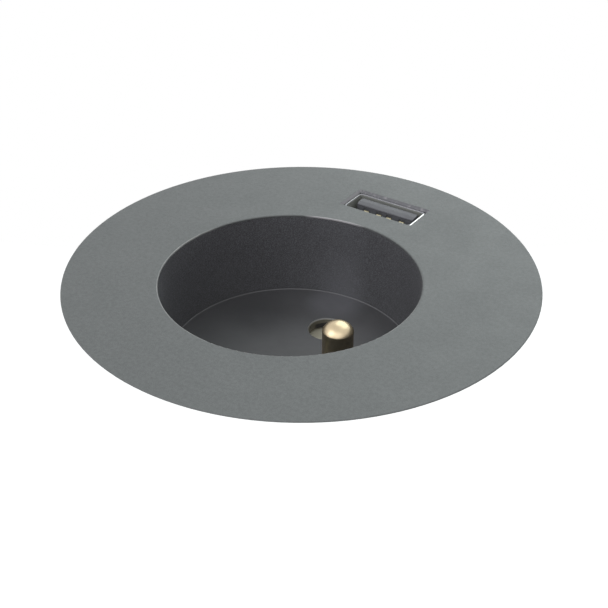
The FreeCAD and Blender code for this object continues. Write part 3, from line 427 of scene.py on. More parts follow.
def brushed_metal(name, colour, rough, along=UPRIGHT_LINES, depth=0.004 * MM, tarnish=None):
    """Plated or drawn metal with fine lines, dull patches and bright edges."""
    made, tree, shader = start_material(name)
    lines = use(tree, BRUSHED, Along=along, Depth=depth, Normal=eased(tree))
    tone = use(tree, MOTTLE, Colour=rgb(*colour), Amount=0.08, Size=4 * MM)["Colour"]
    dull = map_range(tree, noise(tree, 700.0, 4.0, 0.7), 0.5, 0.75, 0.0, 0.5)
    tone = mix_colour(tree, dull, tone, rgb(*tarnish) if tarnish else scaled(colour, 0.7))
    mask = use(tree, EDGE_WEAR, Radius=0.08 * MM, Amount=0.6)["Mask"]
    tone = mix_colour(tree, mask, tone, scaled(colour, 1.25))
    surface = use(tree, SMUDGE, Roughness=rough, Spread=0.08, Size=2.5 * MM)["Roughness"]
    connect(tree, shader, Base_Color=tone, Metallic=1.0, Roughness=surface, Normal=lines["Normal"])
    return made


def rim_light_and_wear(tree, tone):
    """The paint round the recess: paler and buffed smooth in patches on the near side, which paints the
    rim's highlight there, a painted shade on the far side, and a painted highlight over a short arc there.
    Gives the colour, and where the paler, smoother patches lie."""
    rim_highlight_tone, shaded, painted_light_tone = rgb(0.42, 0.42, 0.41), rgb(0.112, 0.118, 0.12), rgb(0.52, 0.505, 0.52)
    away = axis_distance(tree, 0.0, RECESS_Y)
    rim = falls(tree, away, RECESS_R + 0.12 * MM, RECESS_R + 0.2 * MM)
    past_rim = falls(tree, away, RECESS_R + 0.2 * MM, RECESS_R + 0.42 * MM)
    far_side = rises(tree, toward(tree, 0.0, RECESS_Y, RECESS_R, 88), 0.15, 0.4)
    highlight_arc = rises(tree, toward(tree, 0.0, RECESS_Y, RECESS_R, 103), 0.965, 0.992)
    glint = map_range(tree, noise(tree, 260.0, 3.0, 0.7), 0.42, 0.68, 0.35, 1.0)
    burnish_and_highlight = product(tree, rim, glint, opposite(tree, far_side))
    shade = product(tree, past_rim, maths(tree, "SUBTRACT", far_side, highlight_arc))
    # Painted highlight on the near rim and over the far arc, painted shade on the rest of the far side
    tone = mix_colour(tree, burnish_and_highlight, tone, rim_highlight_tone)
    tone = mix_colour(tree, shade, tone, shaded)
    return mix_colour(tree, product(tree, rim, highlight_arc), tone, painted_light_tone), burnish_and_highlight


def port_mouth(tree, tone):
    """The plate's slopes that lead into the port: purplish bare metal with a few painted glints as bright
    flecks, most of it on the long sides, and a paler painted light on the left one."""
    bare, glint_specks, pale = rgb(0.196, 0.195, 0.212), rgb(0.42, 0.41, 0.43), rgb(0.275, 0.27, 0.285)
    place = split_place(tree)
    off_x, off_y = offset(tree, place["X"], PORT_X), offset(tree, place["Y"], PORT_Y)
    mouth = product(tree, falls(tree, off_x, SHELL_HALF_X + 0.44 * MM, SHELL_HALF_X + 0.46 * MM),
                    falls(tree, off_y, SHELL_HALF_Y + 0.44 * MM, SHELL_HALF_Y + 0.46 * MM),
                    falls(tree, place["Z"], PLATE_TOP - 0.03 * MM, PLATE_TOP - 0.01 * MM))
    long_side = map_range(tree, off_y, SHELL_HALF_Y - 0.1 * MM, SHELL_HALF_Y + 0.1 * MM, 0.45, 1.0)
    left_end = PORT_X - SHELL_HALF_X
    left = falls(tree, place["X"], left_end - 0.05 * MM, left_end + 0.1 * MM)
    # The bright flecks are painted glints; the pale left end is painted light
    metal = mix_colour(tree, rises(tree, noise(tree, 1300.0, 3.0, 0.7), 0.52, 0.72), bare, glint_specks)
    tone = mix_colour(tree, product(tree, mouth, long_side), tone, metal)
    return mix_colour(tree, product(tree, mouth, left), tone, pale)


def plate_paint():
    """Satin textured grey paint: fine even grain and faint mottling, paler edges that partly paint their
    highlight, and painted highlights and shade at the recess's rim and the port's mouth.
    """
    paint, speck, wear_and_painted_light = rgb(0.138, 0.146, 0.147), rgb(0.222, 0.234, 0.234), rgb(0.3, 0.32, 0.315)
    made, tree, shader = start_material("plate_paint")
    tone = use(tree, MOTTLE, Colour=paint, Amount=0.03, Size=14 * MM)["Colour"]
    relief = use(tree, GRAIN, Size=0.16 * MM, Depth=0.02 * MM, Normal=eased(tree))
    tone = mix_colour(tree, product(tree, rises(tree, relief["Value"], 0.36, 0.64), 0.6), tone, speck)
    # Paler edges: wear, and a painted highlight along them, most of all round the recess
    tone = mix_colour(tree, use(tree, EDGE_WEAR, Radius=0.12 * MM, Amount=0.35)["Mask"], tone, wear_and_painted_light)
    # The recess's rim gets painted highlights and painted shade
    tone, burnish_and_highlight = rim_light_and_wear(tree, tone)
    tone = port_mouth(tree, tone)
    surface = use(tree, SMUDGE, Roughness=0.52, Spread=0.04, Size=8 * MM)["Roughness"]
    surface = between(tree, burnish_and_highlight, surface, 0.25)
    connect(tree, shader, Base_Color=tone, Roughness=surface, Normal=relief["Normal"],
            Specular_IOR_Level=0.4)
    return made


def entry_painted_light(tree, tone, height):
    """The contact entries: a pale painted highlight on their bevels, an olive painted reflection of the
    brass pin in their bores, and a dark painted shadow low down on one side."""
    pale, olive, light_olive = rgb(0.3, 0.3, 0.29), rgb(0.17, 0.158, 0.125), rgb(0.25, 0.236, 0.19)
    below = falls(tree, height, RECESS_FLOOR - 0.02 * MM, RECESS_FLOOR)
    low_down = falls(tree, height, RECESS_FLOOR - 0.95 * MM, RECESS_FLOOR - 0.65 * MM)
    for x, y in ENTRIES:
        away = axis_distance(tree, x, y)
        bevel = falls(tree, away, ENTRY_BEVEL_R, ENTRY_BEVEL_R + 0.02 * MM)
        bore = falls(tree, away, ENTRY_R + 0.02 * MM, ENTRY_R + 0.06 * MM)
        shadow_mark = product(tree, rises(tree, toward(tree, x, y, ENTRY_R, 138), 0.87, 0.94), low_down)
        bore_reflection = mix_colour(tree, noise(tree, 900.0, 3.0, 0.6), olive, light_olive)
        bore_reflection = mix_colour(tree, shadow_mark, bore_reflection, rgb(0.05, 0.05, 0.05))
        # Pale painted highlight on the bevel, painted reflection of the pin in the bore, painted shadow low
        # on one side
        tone = mix_colour(tree, product(tree, below, bevel), tone, pale)
        tone = mix_colour(tree, product(tree, below, bore), tone, bore_reflection)
    return tone


def cup_plastic():
    """Dark moulding: spark-textured on the wall, smoother on the floor. The wall is lighter low down as
    painted bounce light from the floor, and a fine pale line at its foot is a painted highlight. A painted
    light lies pale at the back, and the floor has a painted shade on one side and a painted light on the
    other."""
    floor_tone, top_tone = rgb(0.1, 0.101, 0.106), rgb(0.08, 0.08, 0.086)
    painted_shade_tone, painted_light_tone, back_light_tone = rgb(0.072, 0.073, 0.077), rgb(0.132, 0.133, 0.14), rgb(0.21, 0.212, 0.232)
    spark, wear_and_painted_light = rgb(0.22, 0.222, 0.245), rgb(0.2, 0.2, 0.21)
    made, tree, shader = start_material("cup_plastic")
    height = split_place(tree)["Z"]
    wall = rises(tree, height, RECESS_FLOOR + 0.1 * MM, RECESS_FLOOR + 0.5 * MM)
    floor = opposite(tree, wall)
    # The wall is lighter low down, fading to its own tone 9 mm up: painted bounce light from the floor
    rise = rises(tree, height, RECESS_FLOOR + 0.3 * MM, RECESS_FLOOR + 9 * MM)
    tone = mix_colour(tree, rise, floor_tone, top_tone)
    # Painted shade on one side of the floor, painted light on the other and at the back
    tone = mix_colour(tree, product(tree, patch(tree, *PAINTED_SHADE_PATCH), floor), tone, painted_shade_tone)
    tone = mix_colour(tree, product(tree, patch(tree, *PAINTED_LIGHT_PATCH), floor), tone, painted_light_tone)
    back_light = product(tree, patch(tree, *PAINTED_BACK_LIGHT), between(tree, rise, 0.62, 0.186))
    tone = mix_colour(tree, back_light, tone, back_light_tone)
    tone = use(tree, MOTTLE, Colour=tone, Amount=0.07, Size=7 * MM)["Colour"]
    sparks = product(tree, rises(tree, noise(tree, 6500.0, 1.0), 0.4, 0.75), wall, 0.75)
    tone = mix_colour(tree, sparks, tone, spark)
    tone = mix_colour(tree, use(tree, EDGE_WEAR, Radius=0.1 * MM, Amount=0.4)["Mask"], tone, wear_and_painted_light)
    # A pale line at the wall's foot: a painted highlight
    foot = product(tree, rises(tree, height, RECESS_FLOOR + 0.005 * MM, RECESS_FLOOR + 0.015 * MM),
                   falls(tree, height, RECESS_FLOOR + 0.1 * MM, RECESS_FLOOR + 0.16 * MM), 0.6)
    tone = entry_painted_light(tree, mix_colour(tree, foot, tone, wear_and_painted_light), height)
    depth = between(tree, wall, 0.004 * MM, 0.025 * MM)
    relief = use(tree, GRAIN, Size=0.14 * MM, Depth=depth, Normal=eased(tree))
    surface = use(tree, SMUDGE, Roughness=0.5, Spread=0.05, Size=5 * MM)["Roughness"]
    connect(tree, shader, Base_Color=tone, Roughness=surface, Normal=relief["Normal"],
            Specular_IOR_Level=0.45)
    return made


def shell_plating():
    """Folded nickel-plated sheet: the cut edge is bright at the short ends, the left one less, and darker
    along the long sides, which paints the lip's highlights and shade, and the inside has a lighter grey that
    paints light into its shade."""
    bright_end_tone, left_end_tone, inside_light_tone = rgb(0.82, 0.82, 0.8), rgb(0.42, 0.42, 0.41), rgb(0.4, 0.41, 0.385)
    long_side_shade_dark, long_side_shade_pale = rgb(0.23, 0.225, 0.25), rgb(0.36, 0.355, 0.385)
    made, tree, shader = start_material("shell_plating")
    place = split_place(tree)
    off_x = offset(tree, place["X"], PORT_X)
    end = rises(tree, off_x, SHELL_HALF_X - 0.2 * MM, SHELL_HALF_X - 0.15 * MM)
    left = falls(tree, place["X"], PORT_X - 0.1 * MM, PORT_X + 0.1 * MM)
    lip = rises(tree, place["Z"], SHELL_TOP - 0.12 * MM, SHELL_TOP - 0.06 * MM)
    inside = opposite(tree, lip)
    long_lip = product(tree, lip, opposite(tree, end))
    # Painted highlights: bright lip ends, the left one less; painted shade along the long sides and painted
    # light inside
    end_light = mix_colour(tree, left, bright_end_tone, left_end_tone)
    tone = use(tree, MOTTLE, Colour=end_light, Amount=0.08, Size=2 * MM)["Colour"]
    wear_and_painted_light = mix_colour(tree, noise(tree, 1500.0, 3.0, 0.7), long_side_shade_dark, long_side_shade_pale)
    tone = mix_colour(tree, long_lip, tone, wear_and_painted_light)
    tone = mix_colour(tree, inside, tone, inside_light_tone)
    dull = maths(tree, "MAXIMUM", long_lip, inside)
    lines = use(tree, BRUSHED, Along=LEVEL_LINES, Depth=0.002 * MM, Normal=eased(tree, 0.03 * MM))
    connect(tree, shader, Base_Color=tone, Metallic=between(tree, dull, 1.0, 0.45),
            Roughness=between(tree, dull, 0.25, 0.5), Normal=lines["Normal"])
    return made


def pin_brass():
    """Turned brass: fine rings that stretch the light along the shaft, and a buffed champagne tip."""
    tip_tone, shaft_tone, stained = rgb(0.62, 0.51, 0.34), rgb(0.64, 0.55, 0.39), rgb(0.36, 0.27, 0.17)
    made, tree, shader = start_material("pin_brass")
    height = split_place(tree)["Z"]
    shaft = map_range(tree, height, PIN_HIGH[2] - 1.55 * MM, PIN_HIGH[2] - 1.4 * MM, 1.0, 0.0, smooth=True)
    depth = between(tree, shaft, 0.0005 * MM, 0.003 * MM)
    rings = use(tree, BRUSHED, Along=TURNED_LINES, Depth=depth, Normal=eased(tree))
    tone = use(tree, MOTTLE, Colour=tip_tone, Amount=0.06, Size=2 * MM)["Colour"]
    tone = mix_colour(tree, shaft, tone, shaft_tone)
    stain = map_range(tree, noise(tree, 900.0, 4.0, 0.7), 0.45, 0.75, 0.0, 0.5)
    tone = mix_colour(tree, product(tree, stain, shaft), tone, stained)
    rough = between(tree, shaft, 0.36, 0.33)
    surface = use(tree, SMUDGE, Roughness=rough, Spread=0.03, Size=1.5 * MM)["Roughness"]
    around = node(tree, "ShaderNodeTangent", direction_type="RADIAL", axis="Z").outputs[0]
    connect(tree, shader, Base_Color=tone, Metallic=1.0, Roughness=surface, Normal=rings["Normal"],
            Tangent=around, Anisotropic=0.4)
    return made


def board_mask():
    """Green solder mask over faint tracks, with pale pads."""
    made, tree, shader = start_material("board_mask")
    tracks = node(tree, "ShaderNodeTexBrick", {
        "Vector": place_of(tree), "Scale": 260.0, "Mortar Size": 0.06, "Color1": rgb(0.02, 0.16, 0.06),
        "Color2": rgb(0.025, 0.2, 0.08), "Mortar": rgb(0.015, 0.1, 0.04)}).outputs["Color"]
    tone = use(tree, MOTTLE, Colour=tracks, Amount=0.1, Size=5 * MM)["Colour"]
    cells = node(tree, "ShaderNodeTexVoronoi", {"Vector": place_of(tree), "Scale": 420.0})
    pads = falls(tree, cells.outputs["Distance"], 0.16, 0.2)
    tone = mix_colour(tree, pads, tone, rgb(0.6, 0.6, 0.55))
    relief = use(tree, GRAIN, Size=0.5 * MM, Depth=0.004 * MM, Normal=eased(tree))
    surface = use(tree, SMUDGE, Roughness=0.3, Spread=0.08, Size=4 * MM)["Roughness"]
    connect(tree, shader, Base_Color=tone, Roughness=surface, Normal=relief["Normal"], Coat_Weight=0.4)
    return made


def desk_white():
    """Matt white, with a glow that only the eye and gloss see. From below, and to light on its way, the desk
    isn't there."""
    made, tree = empty_material("desk_white")
    geometry = node(tree, "ShaderNodeNewGeometry").outputs
    path = node(tree, "ShaderNodeLightPath").outputs
    grain = use(tree, GRAIN, Size=0.4 * MM, Depth=0.002 * MM, Normal=geometry["Normal"])
    paint = {"Color": rgb(DESK_COLOUR, DESK_COLOUR, DESK_COLOUR), "Normal": grain["Normal"]}
    matt = node(tree, "ShaderNodeBsdfDiffuse", paint)
    seen = maths(tree, "MAXIMUM", path["Is Camera Ray"], path["Is Glossy Ray"])
    lift = map_range(tree, axis_distance(tree, 0.0, 0.0), *DESK_GLOW_FADE, DESK_GLOW, 1.0)
    glow = node(tree, "ShaderNodeEmission", {"Strength": product(tree, seen, lift)})
    white = node(tree, "ShaderNodeAddShader", {0: matt.outputs[0], 1: glow.outputs[0]})
    clear = node(tree, "ShaderNodeBsdfTransparent")
    gone = maths(tree, "MAXIMUM", geometry["Backfacing"], path["Is Shadow Ray"])
    mixed = node(tree, "ShaderNodeMixShader", {0: gone, 1: white.outputs[0], 2: clear.outputs[0]})
    node(tree, "ShaderNodeOutputMaterial", {"Surface": mixed.outputs[0]})
    return made


# Moulded, cast and coated finishes: colour, roughness, the grain's size and depth in millimetres, mottling,
# and for some a clear coat
MOULDED = {
    "film": ((0.7, 0.7, 0.66), 0.35, 0.15, 0.01, 0.1, 0.3),
    "seal_rubber": ((0.022, 0.022, 0.023), 0.8, 0.3, 0.03, 0.15),
    "black_moulding": ((0.03, 0.03, 0.032), 0.48, 0.2, 0.014, 0.1),
    "nut_moulding": ((0.045, 0.045, 0.048), 0.42, 0.3, 0.016, 0.12),
    "shutter_moulding": ((0.62, 0.59, 0.47), 0.5, 0.2, 0.012, 0.07),
    "carrier_moulding": ((0.55, 0.53, 0.48), 0.5, 0.25, 0.012, 0.08),
    "tongue_moulding": ((0.125, 0.125, 0.14), 0.5, 0.2, 0.01, 0.08),
    "block_green": ((0.05, 0.26, 0.1), 0.45, 0.3, 0.012, 0.1),
    "ferrite": ((0.055, 0.055, 0.06), 0.6, 0.12, 0.03, 0.15),
    "winding_tape": ((0.75, 0.56, 0.07), 0.3, 0.8, 0.02, 0.12, 0.5),
    "can_sleeve": ((0.02, 0.03, 0.09), 0.3, 0.6, 0.008, 0.1, 0.6),
    "fuse_moulding": ((0.05, 0.04, 0.035), 0.5, 0.2, 0.012, 0.1),
    "blue_coating": ((0.03, 0.1, 0.4), 0.3, 1.0, 0.05, 0.12, 0.6),
    "chip_moulding": ((0.025, 0.025, 0.026), 0.55, 0.1, 0.01, 0.1),
    "gland_moulding": ((0.035, 0.035, 0.037), 0.5, 0.2, 0.014, 0.1),
}

# Metals: colour and roughness, then how their lines and tarnish differ from the usual
METALS = {
    "plated_steel": ((0.6, 0.61, 0.6), 0.34, {}),
    "bright_steel": ((0.82, 0.82, 0.8), 0.2, {"along": LEVEL_LINES, "depth": 0.002 * MM}),
    "contact_bronze": ((0.72, 0.52, 0.28), 0.32, {"tarnish": (0.4, 0.24, 0.12)}),
    "gold_plate": ((0.34, 0.31, 0.21), 0.4, {"depth": 0.002 * MM}),
}

MATERIALS = {"grey_paint": plate_paint(), "cup_moulding": cup_plastic(), "pin_brass": pin_brass(),
             "board_green": board_mask()}
for slot, look in MOULDED.items():
    MATERIALS[slot] = moulded(slot, *look)
for slot, (colour, rough, lines) in METALS.items():
    MATERIALS[slot] = brushed_metal(slot, colour, rough, **lines)

for part in frame["record"]["subparts"]:
    cad_mesh = frame["nodes"][part["node"]].data
    cad_mesh.materials.clear()
    cad_mesh.materials.append(MATERIALS[part["material_slot"]])


# Surfaces over grids of points

def wrapped(grid, wrap_rows, wrap_columns):
    """The grid with its first row or column again after its last, where it wraps."""
    if wrap_rows:
        grid = np.concatenate([grid, grid[:1]], axis=0)
    if wrap_columns:
        grid = np.concatenate([grid, grid[:, :1]], axis=1)
    return grid


def grid_mesh(name, points, wrap_rows=False, wrap_columns=False):
    """A mesh from an array of points in rows and columns; wrapping joins the last to the first."""
    index = np.arange(points.shape[0] * points.shape[1]).reshape(points.shape[:2])
    index = wrapped(index, wrap_rows, wrap_columns)
    quads = np.stack([index[:-1, :-1], index[1:, :-1], index[1:, 1:], index[:-1, 1:]], axis=-1)
    mesh = bpy.data.meshes.new(name)
    mesh.from_pydata(points.reshape(-1, 3).tolist(), [], quads.reshape(-1, 4).tolist())
    mesh.polygons.foreach_set("use_smooth", np.ones(len(mesh.polygons), bool))
    mesh.update()
    made = bpy.data.objects.new(name, mesh)
    bpy.context.scene.collection.objects.link(made)
    return made


def enclosed(points, wrap_rows):
    """The signed volume inside a grid whose columns wrap; it is negative where the faces point inwards."""
    grid = wrapped(points, wrap_rows, True)
    a, b, c, d = grid[:-1, :-1], grid[1:, :-1], grid[1:, 1:], grid[:-1, 1:]
    return float((np.cross(a, b) * c).sum() + (np.cross(a, c) * d).sum())


def piece(name, points, slot, body="module", wrap_rows=False, smooth_angle=40, finish=None):
    """A closed surface over a grid of points that faces outwards and rides on a body."""
    if enclosed(points, wrap_rows) < 0:
        points = points[::-1]
    made = grid_mesh(name, points, wrap_rows, wrap_columns=True)
    made.data.materials.append(finish or MATERIALS[slot])
    made.data.set_sharp_from_angle(angle=math.radians(smooth_angle))
    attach(made, body)
    return made


def rounded_loop(half_x, half_y, corner, along_x=12, along_y=6, turn=8):
    """Points round a rectangle with round corners: four straight runs joined by four quarter turns."""
    points = []
    inner_x, inner_y = half_x - corner, half_y - corner
    quarter = np.linspace(0, np.pi / 2, turn)
    starts = ((inner_x, inner_y, 0), (-inner_x, inner_y, 1), (-inner_x, -inner_y, 2), (inner_x, -inner_y, 3))
    for index, (x, y, quarters) in enumerate(starts):
        angles = quarter + quarters * np.pi / 2
        arc = np.column_stack([x + corner * np.cos(angles), y + corner * np.sin(angles)])
        next_x, next_y, next_quarters = starts[(index + 1) % 4]
        angle = next_quarters * np.pi / 2
        far = np.array([next_x + corner * math.cos(angle), next_y + corner * math.sin(angle)])
        count = along_x if index % 2 == 0 else along_y
        steps = np.linspace(0, 1, count + 2)[1:-1, None]
        points += [arc, arc[-1] * (1 - steps) + far * steps]
    return np.vstack(points)


def lofted(rings, **counts):
    """Rows of points through rings, each given as centre x, y, half x, half y, corner and level."""
    rows = []
    for x, y, half_x, half_y, corner, level in rings:
        loop = rounded_loop(half_x, half_y, min(corner, half_x, half_y), **counts)
        rows.append(np.column_stack([x + loop[:, 0], y + loop[:, 1], np.full(len(loop), level)]))
    return np.array(rows)


def round_axis(radii, levels, angles, x=0.0, y=0.0):
    """Points round an upright axis, with radii and levels down the rows and angles along the columns."""
    points = np.zeros(np.broadcast(radii, angles).shape + (3,))
    points[..., 0] = x + radii * np.cos(angles)
    points[..., 1] = y + radii * np.sin(angles)
    points[..., 2] = levels
    return points


def turned(name, profile, slot, x=0.0, y=0.0, turns=96, **settings):
    """A lathe surface: the profile's radii and levels swept round an upright axis."""
    angles = np.linspace(0, 2 * np.pi, turns, endpoint=False)
    radii, levels = np.array(profile).T
    return piece(name, round_axis(radii[:, None], levels[:, None], angles, x, y), slot, **settings)


# The pieces

def port_shell():
    """Folded sheet round the port: rounded rectangles up the outer face, over a half-round lip, down the
    inner face and across the floor. Spring bulges on the inner face's long sides lean inwards, half an
    ellipse across and a parabola up and down."""
    outer = [(0.0, SHELL_FOOT + 0.3 * MM), (0.0, SHELL_TOP - 0.4 * MM)]
    lip = [(SHEET / 2 * (1 - math.cos(angle)), SHELL_TOP - LIP_RISE * (1 - math.sin(angle)))
           for angle in np.linspace(0, np.pi, 9)]
    inner = [(SHEET, level) for level in np.linspace(SHELL_TOP - 0.3 * MM, SHELL_FOOT + 0.6 * MM, 60)]
    rings = [(PORT_X, PORT_Y, SHELL_HALF_X - inset, SHELL_HALF_Y - inset, SHELL_CORNER - inset, level)
             for inset, level in outer + lip + inner]
    middle = 0.5 * MM
    for level in (SHELL_FOOT + 0.55 * MM, SHELL_FOOT):
        rings.append((PORT_X, PORT_Y, middle, middle, middle, level))
    rings.append((PORT_X, PORT_Y, SHELL_HALF_X - SHEET, SHELL_HALF_Y - SHEET, SHELL_CORNER, SHELL_FOOT))
    points = lofted(rings, along_x=90, along_y=30)
    inside = slice(len(outer) + len(lip), len(outer) + len(lip) + len(inner))
    across, level = points[inside, :, 0] - PORT_X, points[inside, :, 2]
    side = np.sign(points[inside, :, 1] - PORT_Y)
    on_side = np.abs(points[inside, :, 1] - PORT_Y) > SHELL_HALF_Y - 1.5 * SHEET
    height = np.clip(1 - ((level - BULGE_LEVEL) / BULGE_HALF_Z) ** 2, 0, 1)
    for centre in BULGES_X:
        width = np.clip(1 - ((across - centre) / BULGE_HALF_X) ** 2, 0, 1) ** 0.5
        points[inside, :, 1] -= side * on_side * BULGE_DEPTH * width * height
    made = piece("port_shell", points, "bright_steel", wrap_rows=True, finish=shell_plating())
    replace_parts(made, "usb_shell")


def port_tongue():
    """The insulator: rounded rectangles across its top, over a small quarter-round edge, down the blade and
    down the block that fills the shell. The top slopes down towards the near edge as a lead-in, and the
    near face is cut back under each contact as a groove."""
    top = TONGUE_HIGH[2]
    cuts = [(inset, top) for inset in np.linspace(TONGUE_HALF_Y - 0.01 * MM, TONGUE_EDGE, 12)[:-1]]
    cuts += [(TONGUE_EDGE * (1 - math.cos(angle)), top - TONGUE_EDGE * (1 - math.sin(angle)))
             for angle in np.linspace(np.pi / 2, 0, 6)]
    top_rings = len(cuts)
    cuts += [(0.0, level) for level in np.linspace(top - 0.3 * MM, BLOCK_TOP + 0.05 * MM, 46)]
    rings = [(PORT_X, TONGUE_Y, TONGUE_HALF_X - inset, TONGUE_HALF_Y - inset, TONGUE_CORNER, level)
             for inset, level in cuts]
    blade = slice(top_rings, len(rings))
    block_x, block_y, seam = SHELL_HALF_X - SHEET, SHELL_HALF_Y - SHEET, 0.01 * MM
    for level in (BLOCK_TOP, TONGUE_LOW[2]):
        rings.append((PORT_X, PORT_Y, block_x, block_y, BLOCK_CORNER, level))
    rings.append((PORT_X, PORT_Y, block_x - block_y, seam, seam, TONGUE_LOW[2]))
    points = lofted(rings, along_x=150, along_y=8)
    near_edge = TONGUE_Y - TONGUE_HALF_Y
    slope = np.clip((near_edge + LEAD_IN - points[:top_rings, :, 1]) / LEAD_IN, 0, 1)
    points[:top_rings, :, 2] -= slope * LEAD_DROP
    x, y, level = points[blade, :, 0], points[blade, :, 1], points[blade, :, 2]
    near = y < near_edge + 0.02 * MM
    below = np.clip((CONTACTS_HIGH[2] + 0.25 * MM - level) / (0.15 * MM), 0, 1)
    for centre in CONTACTS_X:
        inside = np.clip((GROOVE_HALF - np.abs(x - centre)) / GROOVE_WALL, 0, 1)
        points[blade, :, 1] += near * inside * below * GROOVE_DEPTH
    made = piece("port_tongue", points, "tongue_moulding")
    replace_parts(made, "usb_tongue")


def port_contacts():
    """Four springy strips: a rounded oblong carried along a line that goes up the face of the tongue, then
    over a quarter-round bend into its groove."""
    face = CONTACTS_LOW[1] + CONTACT_THICK / 2
    bend_level = CONTACTS_HIGH[2] - CONTACT_SUNK - CONTACT_BEND - CONTACT_THICK / 2
    straight = [(face, level) for level in np.linspace(CONTACTS_LOW[2], bend_level, 14)]
    turn = [(face + CONTACT_BEND * (1 - math.cos(angle)), bend_level + CONTACT_BEND * math.sin(angle))
            for angle in np.linspace(0, np.pi / 2, 8)[1:]]
    spine = np.array(straight + turn)
    along = np.gradient(spine, axis=0)
    along /= np.linalg.norm(along, axis=1)[:, None]
    loop = rounded_loop(CONTACT_WIDTH / 2, CONTACT_THICK / 2, CONTACT_EDGE, along_x=6, along_y=1, turn=4)
    across, out = loop.T
    rows = np.zeros((len(spine), len(loop), 3))
    rows[..., 0] = across
    rows[..., 1] = spine[:, :1] - along[:, 1:] * out
    rows[..., 2] = spine[:, 1:] + along[:, :1] * out
    ends = rows[[0, -1]].mean(axis=1, keepdims=True).repeat(len(loop), axis=1)
    strip = np.concatenate([ends[:1], rows, ends[1:]])
    for number, x in enumerate(CONTACTS_X, 1):
        made = piece("port_contact_%d" % number, strip + np.array([x, 0, 0]), "gold_plate")
        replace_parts(made, "usb_contacts")


def earthing_pin():
    """The pin's outline turned round its axis. From tip to shank it is a shallow crown, a small round
    shoulder, the shaft with a groove at its foot, a neck through the floor, a collar under it and the
    shank with a peened end."""
    x, y = (PIN_LOW[0] + PIN_HIGH[0]) / 2, (PIN_LOW[1] + PIN_HIGH[1]) / 2
    foot, tip = PIN_LOW[2], PIN_HIGH[2]
    pole = 0.002 * MM
    crown = (PIN_R - PIN_SHOULDER * (1 - math.sin(PIN_LEAN))) / math.sin(PIN_LEAN)
    middle = tip - crown * (1 - math.cos(PIN_LEAN)) - PIN_SHOULDER * math.cos(PIN_LEAN)
    profile = [(pole, tip)]
    profile += [(crown * math.sin(angle), tip - crown * (1 - math.cos(angle)))
                for angle in np.linspace(0.04, PIN_LEAN, 14)]
    profile += [(PIN_R - PIN_SHOULDER * (1 - math.sin(angle)), middle + PIN_SHOULDER * math.cos(angle))
                for angle in np.linspace(PIN_LEAN, math.pi / 2, 10)[1:]]
    profile += [(PIN_R, level) for level in np.linspace(middle - 0.5 * MM, RECESS_FLOOR + 0.35 * MM, 12)]
    edge = 0.1 * MM
    profile += [(PIN_NECK_R, RECESS_FLOOR + 0.15 * MM), (PIN_NECK_R, PIN_COLLAR_TOP),
                (PIN_COLLAR_R - edge, PIN_COLLAR_TOP), (PIN_COLLAR_R, PIN_COLLAR_TOP - edge),
                (PIN_COLLAR_R, PIN_COLLAR_FOOT + edge), (PIN_COLLAR_R - edge, PIN_COLLAR_FOOT),
                (PIN_SHANK_R, PIN_COLLAR_FOOT), (PIN_SHANK_R, foot + PIN_PEEN),
                (PIN_SHANK_R - PIN_PEEN, foot), (pole, foot)]
    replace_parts(turned("earthing_pin", profile, "pin_brass", x, y, smooth_angle=35), "earth_pin")


def grip_ribs():
    """Fine upright ribs in the gaps between the ring nut's lugs: the radius of the outer face rises by a
    half-round ridge every 3 degrees, and the ridges run out towards the nut's two faces."""
    low, high = NUT_LOW[2] + RIB_ENDS, NUT_HIGH[2] - RIB_ENDS
    angles = np.linspace(0, 360, 2160, endpoint=False)
    place = (angles % LUG_TURN - LUG_TURN / 2) / RIB_TURN
    ridge = np.sqrt(np.clip(1 - ((place - np.round(place)) / RIB_HALF) ** 2, 0, 1))
    ridge *= np.abs(place) < RIBS_IN_GAP / 2
    levels = np.linspace(low, high, 15)
    run_out = np.clip(np.minimum(levels - low, high - levels) / (0.5 * MM), 0, 1) ** 0.5
    outer = NUT_R - RIB_SUNK + (RIB_SUNK + RIB_PROUD) * run_out[:, None] * ridge
    root = np.full((1, len(angles)), NUT_R - RIB_ROOT)
    radii = np.vstack([root, outer, root])
    levels = np.concatenate([levels[:1], levels, levels[-1:]])
    points = round_axis(radii, levels[:, None], np.radians(angles))
    piece("grip_ribs", points, "nut_moulding", body="nut", wrap_rows=True)


def raised_ring(name, inner, outer, x=0.0, y=0.0, proud=0.5 * MM, **settings):
    """A moulded ring that stands proud of the rear cover's face: up a steep side, over a small round edge,
    across, and the same way down, turned round its axis."""
    face = COVER_FACE - proud
    side = [(0.0, COVER_FACE + RELIEF_ROOT), (RELIEF_SLOPE, face + RELIEF_EDGE),
            (RELIEF_SLOPE + 0.3 * RELIEF_EDGE, face + 0.3 * RELIEF_EDGE), (RELIEF_SLOPE + RELIEF_EDGE, face)]
    profile = [(inner + inset, level) for inset, level in side]
    profile += [(outer - inset, level) for inset, level in reversed(side)]
    turned(name, profile, "black_moulding", x, y, wrap_rows=True, **settings)


def cover_relief():
    """A rim round the rear cover and a seat round each of its screws."""
    raised_ring("cover_rim", *COVER_RIM)
    for number, degrees in enumerate(COVER_SCREW_ANGLES, 1):
        turn = math.radians(degrees)
        x, y = COVER_SCREW_RING * math.cos(turn), COVER_SCREW_RING * math.sin(turn)
        raised_ring("screw_seat_%d" % number, *SEAT_RIM, x, y, proud=0.6 * MM, turns=64)


# The desk, the light and the camera

def desk():
    """A flat part ring round the front of the plate: angle along the columns, radius along the rows. It ends
    just behind the plate, so that the body below shows from the back."""
    angles = np.radians(CAMERA_AZIMUTH - 90 + np.linspace(-DESK_HALF_TURN, DESK_HALF_TURN, 161))
    radii = DESK_HOLE_R * (DESK_REACH / DESK_HOLE_R) ** np.linspace(0, 1, 12)
    made = grid_mesh("desk", round_axis(radii[:, None], DESK_TOP, angles))
    made.data.materials.append(desk_white())


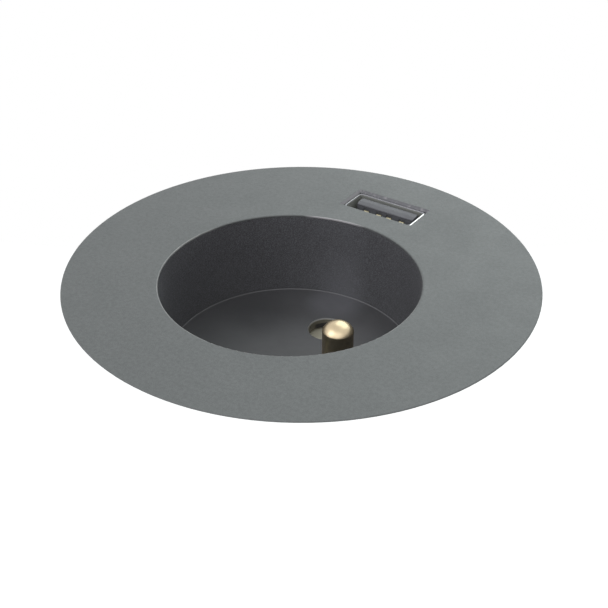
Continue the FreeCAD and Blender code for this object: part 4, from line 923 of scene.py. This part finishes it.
def area_light(name, azimuth, elevation, distance, size, power, colour):
    """A soft square light that looks at the plate; azimuth 0 is on the -Y side."""
    turn, rise = math.radians(azimuth), math.radians(elevation)
    away = Vector((math.sin(turn) * math.cos(rise), -math.cos(turn) * math.cos(rise), math.sin(rise)))
    data = bpy.data.lights.new(name, "AREA")
    data.shape = "SQUARE"
    data.size = size
    data.energy = power
    data.color = colour
    lamp = bpy.data.objects.new(name, data)
    lamp.location = Vector((0, 0, PLATE_TOP)) + away * distance
    lamp.rotation_mode = "QUATERNION"
    lamp.rotation_quaternion = (-away).to_track_quat("-Z", "Y")
    bpy.context.scene.collection.objects.link(lamp)


def white_world(strength):
    """Plain white all round: full white to the eye, to gloss and through glass, a set strength as light."""
    world = bpy.data.worlds.new("studio")
    bpy.context.scene.world = world
    world.use_nodes = True
    tree = world.node_tree
    tree.nodes.clear()
    path = node(tree, "ShaderNodeLightPath").outputs
    seen = maths(tree, "MAXIMUM", path["Is Camera Ray"],
                 maths(tree, "MAXIMUM", path["Is Glossy Ray"], path["Is Transmission Ray"]))
    level = between(tree, seen, strength, 1.0)
    back = node(tree, "ShaderNodeBackground", {"Color": rgb(1, 1, 1), "Strength": level})
    node(tree, "ShaderNodeOutputWorld", {"Surface": back.outputs[0]})


def camera():
    """The photograph's viewpoint, from the outlines of the plate, the recess and the port."""
    data = bpy.data.cameras.new("camera")
    data.sensor_width = CAMERA_SENSOR
    data.lens = CAMERA_LENS
    data.clip_start = 5 * MM
    eye = bpy.data.objects.new("camera", data)
    right, up = Vector(CAMERA_RIGHT), Vector(CAMERA_UP)
    turn = Matrix((right, up, right.cross(up))).transposed()
    eye.matrix_world = Matrix.Translation(CAMERA_PLACE) @ turn.to_4x4()
    bpy.context.scene.collection.objects.link(eye)
    bpy.context.scene.camera = eye


port_shell()
port_tongue()
port_contacts()
earthing_pin()
grip_ribs()
cover_relief()

desk()
white_world(WORLD_LIGHT)
for name, azimuth, *light in LIGHTS:
    area_light(name, CAMERA_AZIMUTH + azimuth, *light)
camera()
bpy.context.scene.view_settings.view_transform = "Standard"
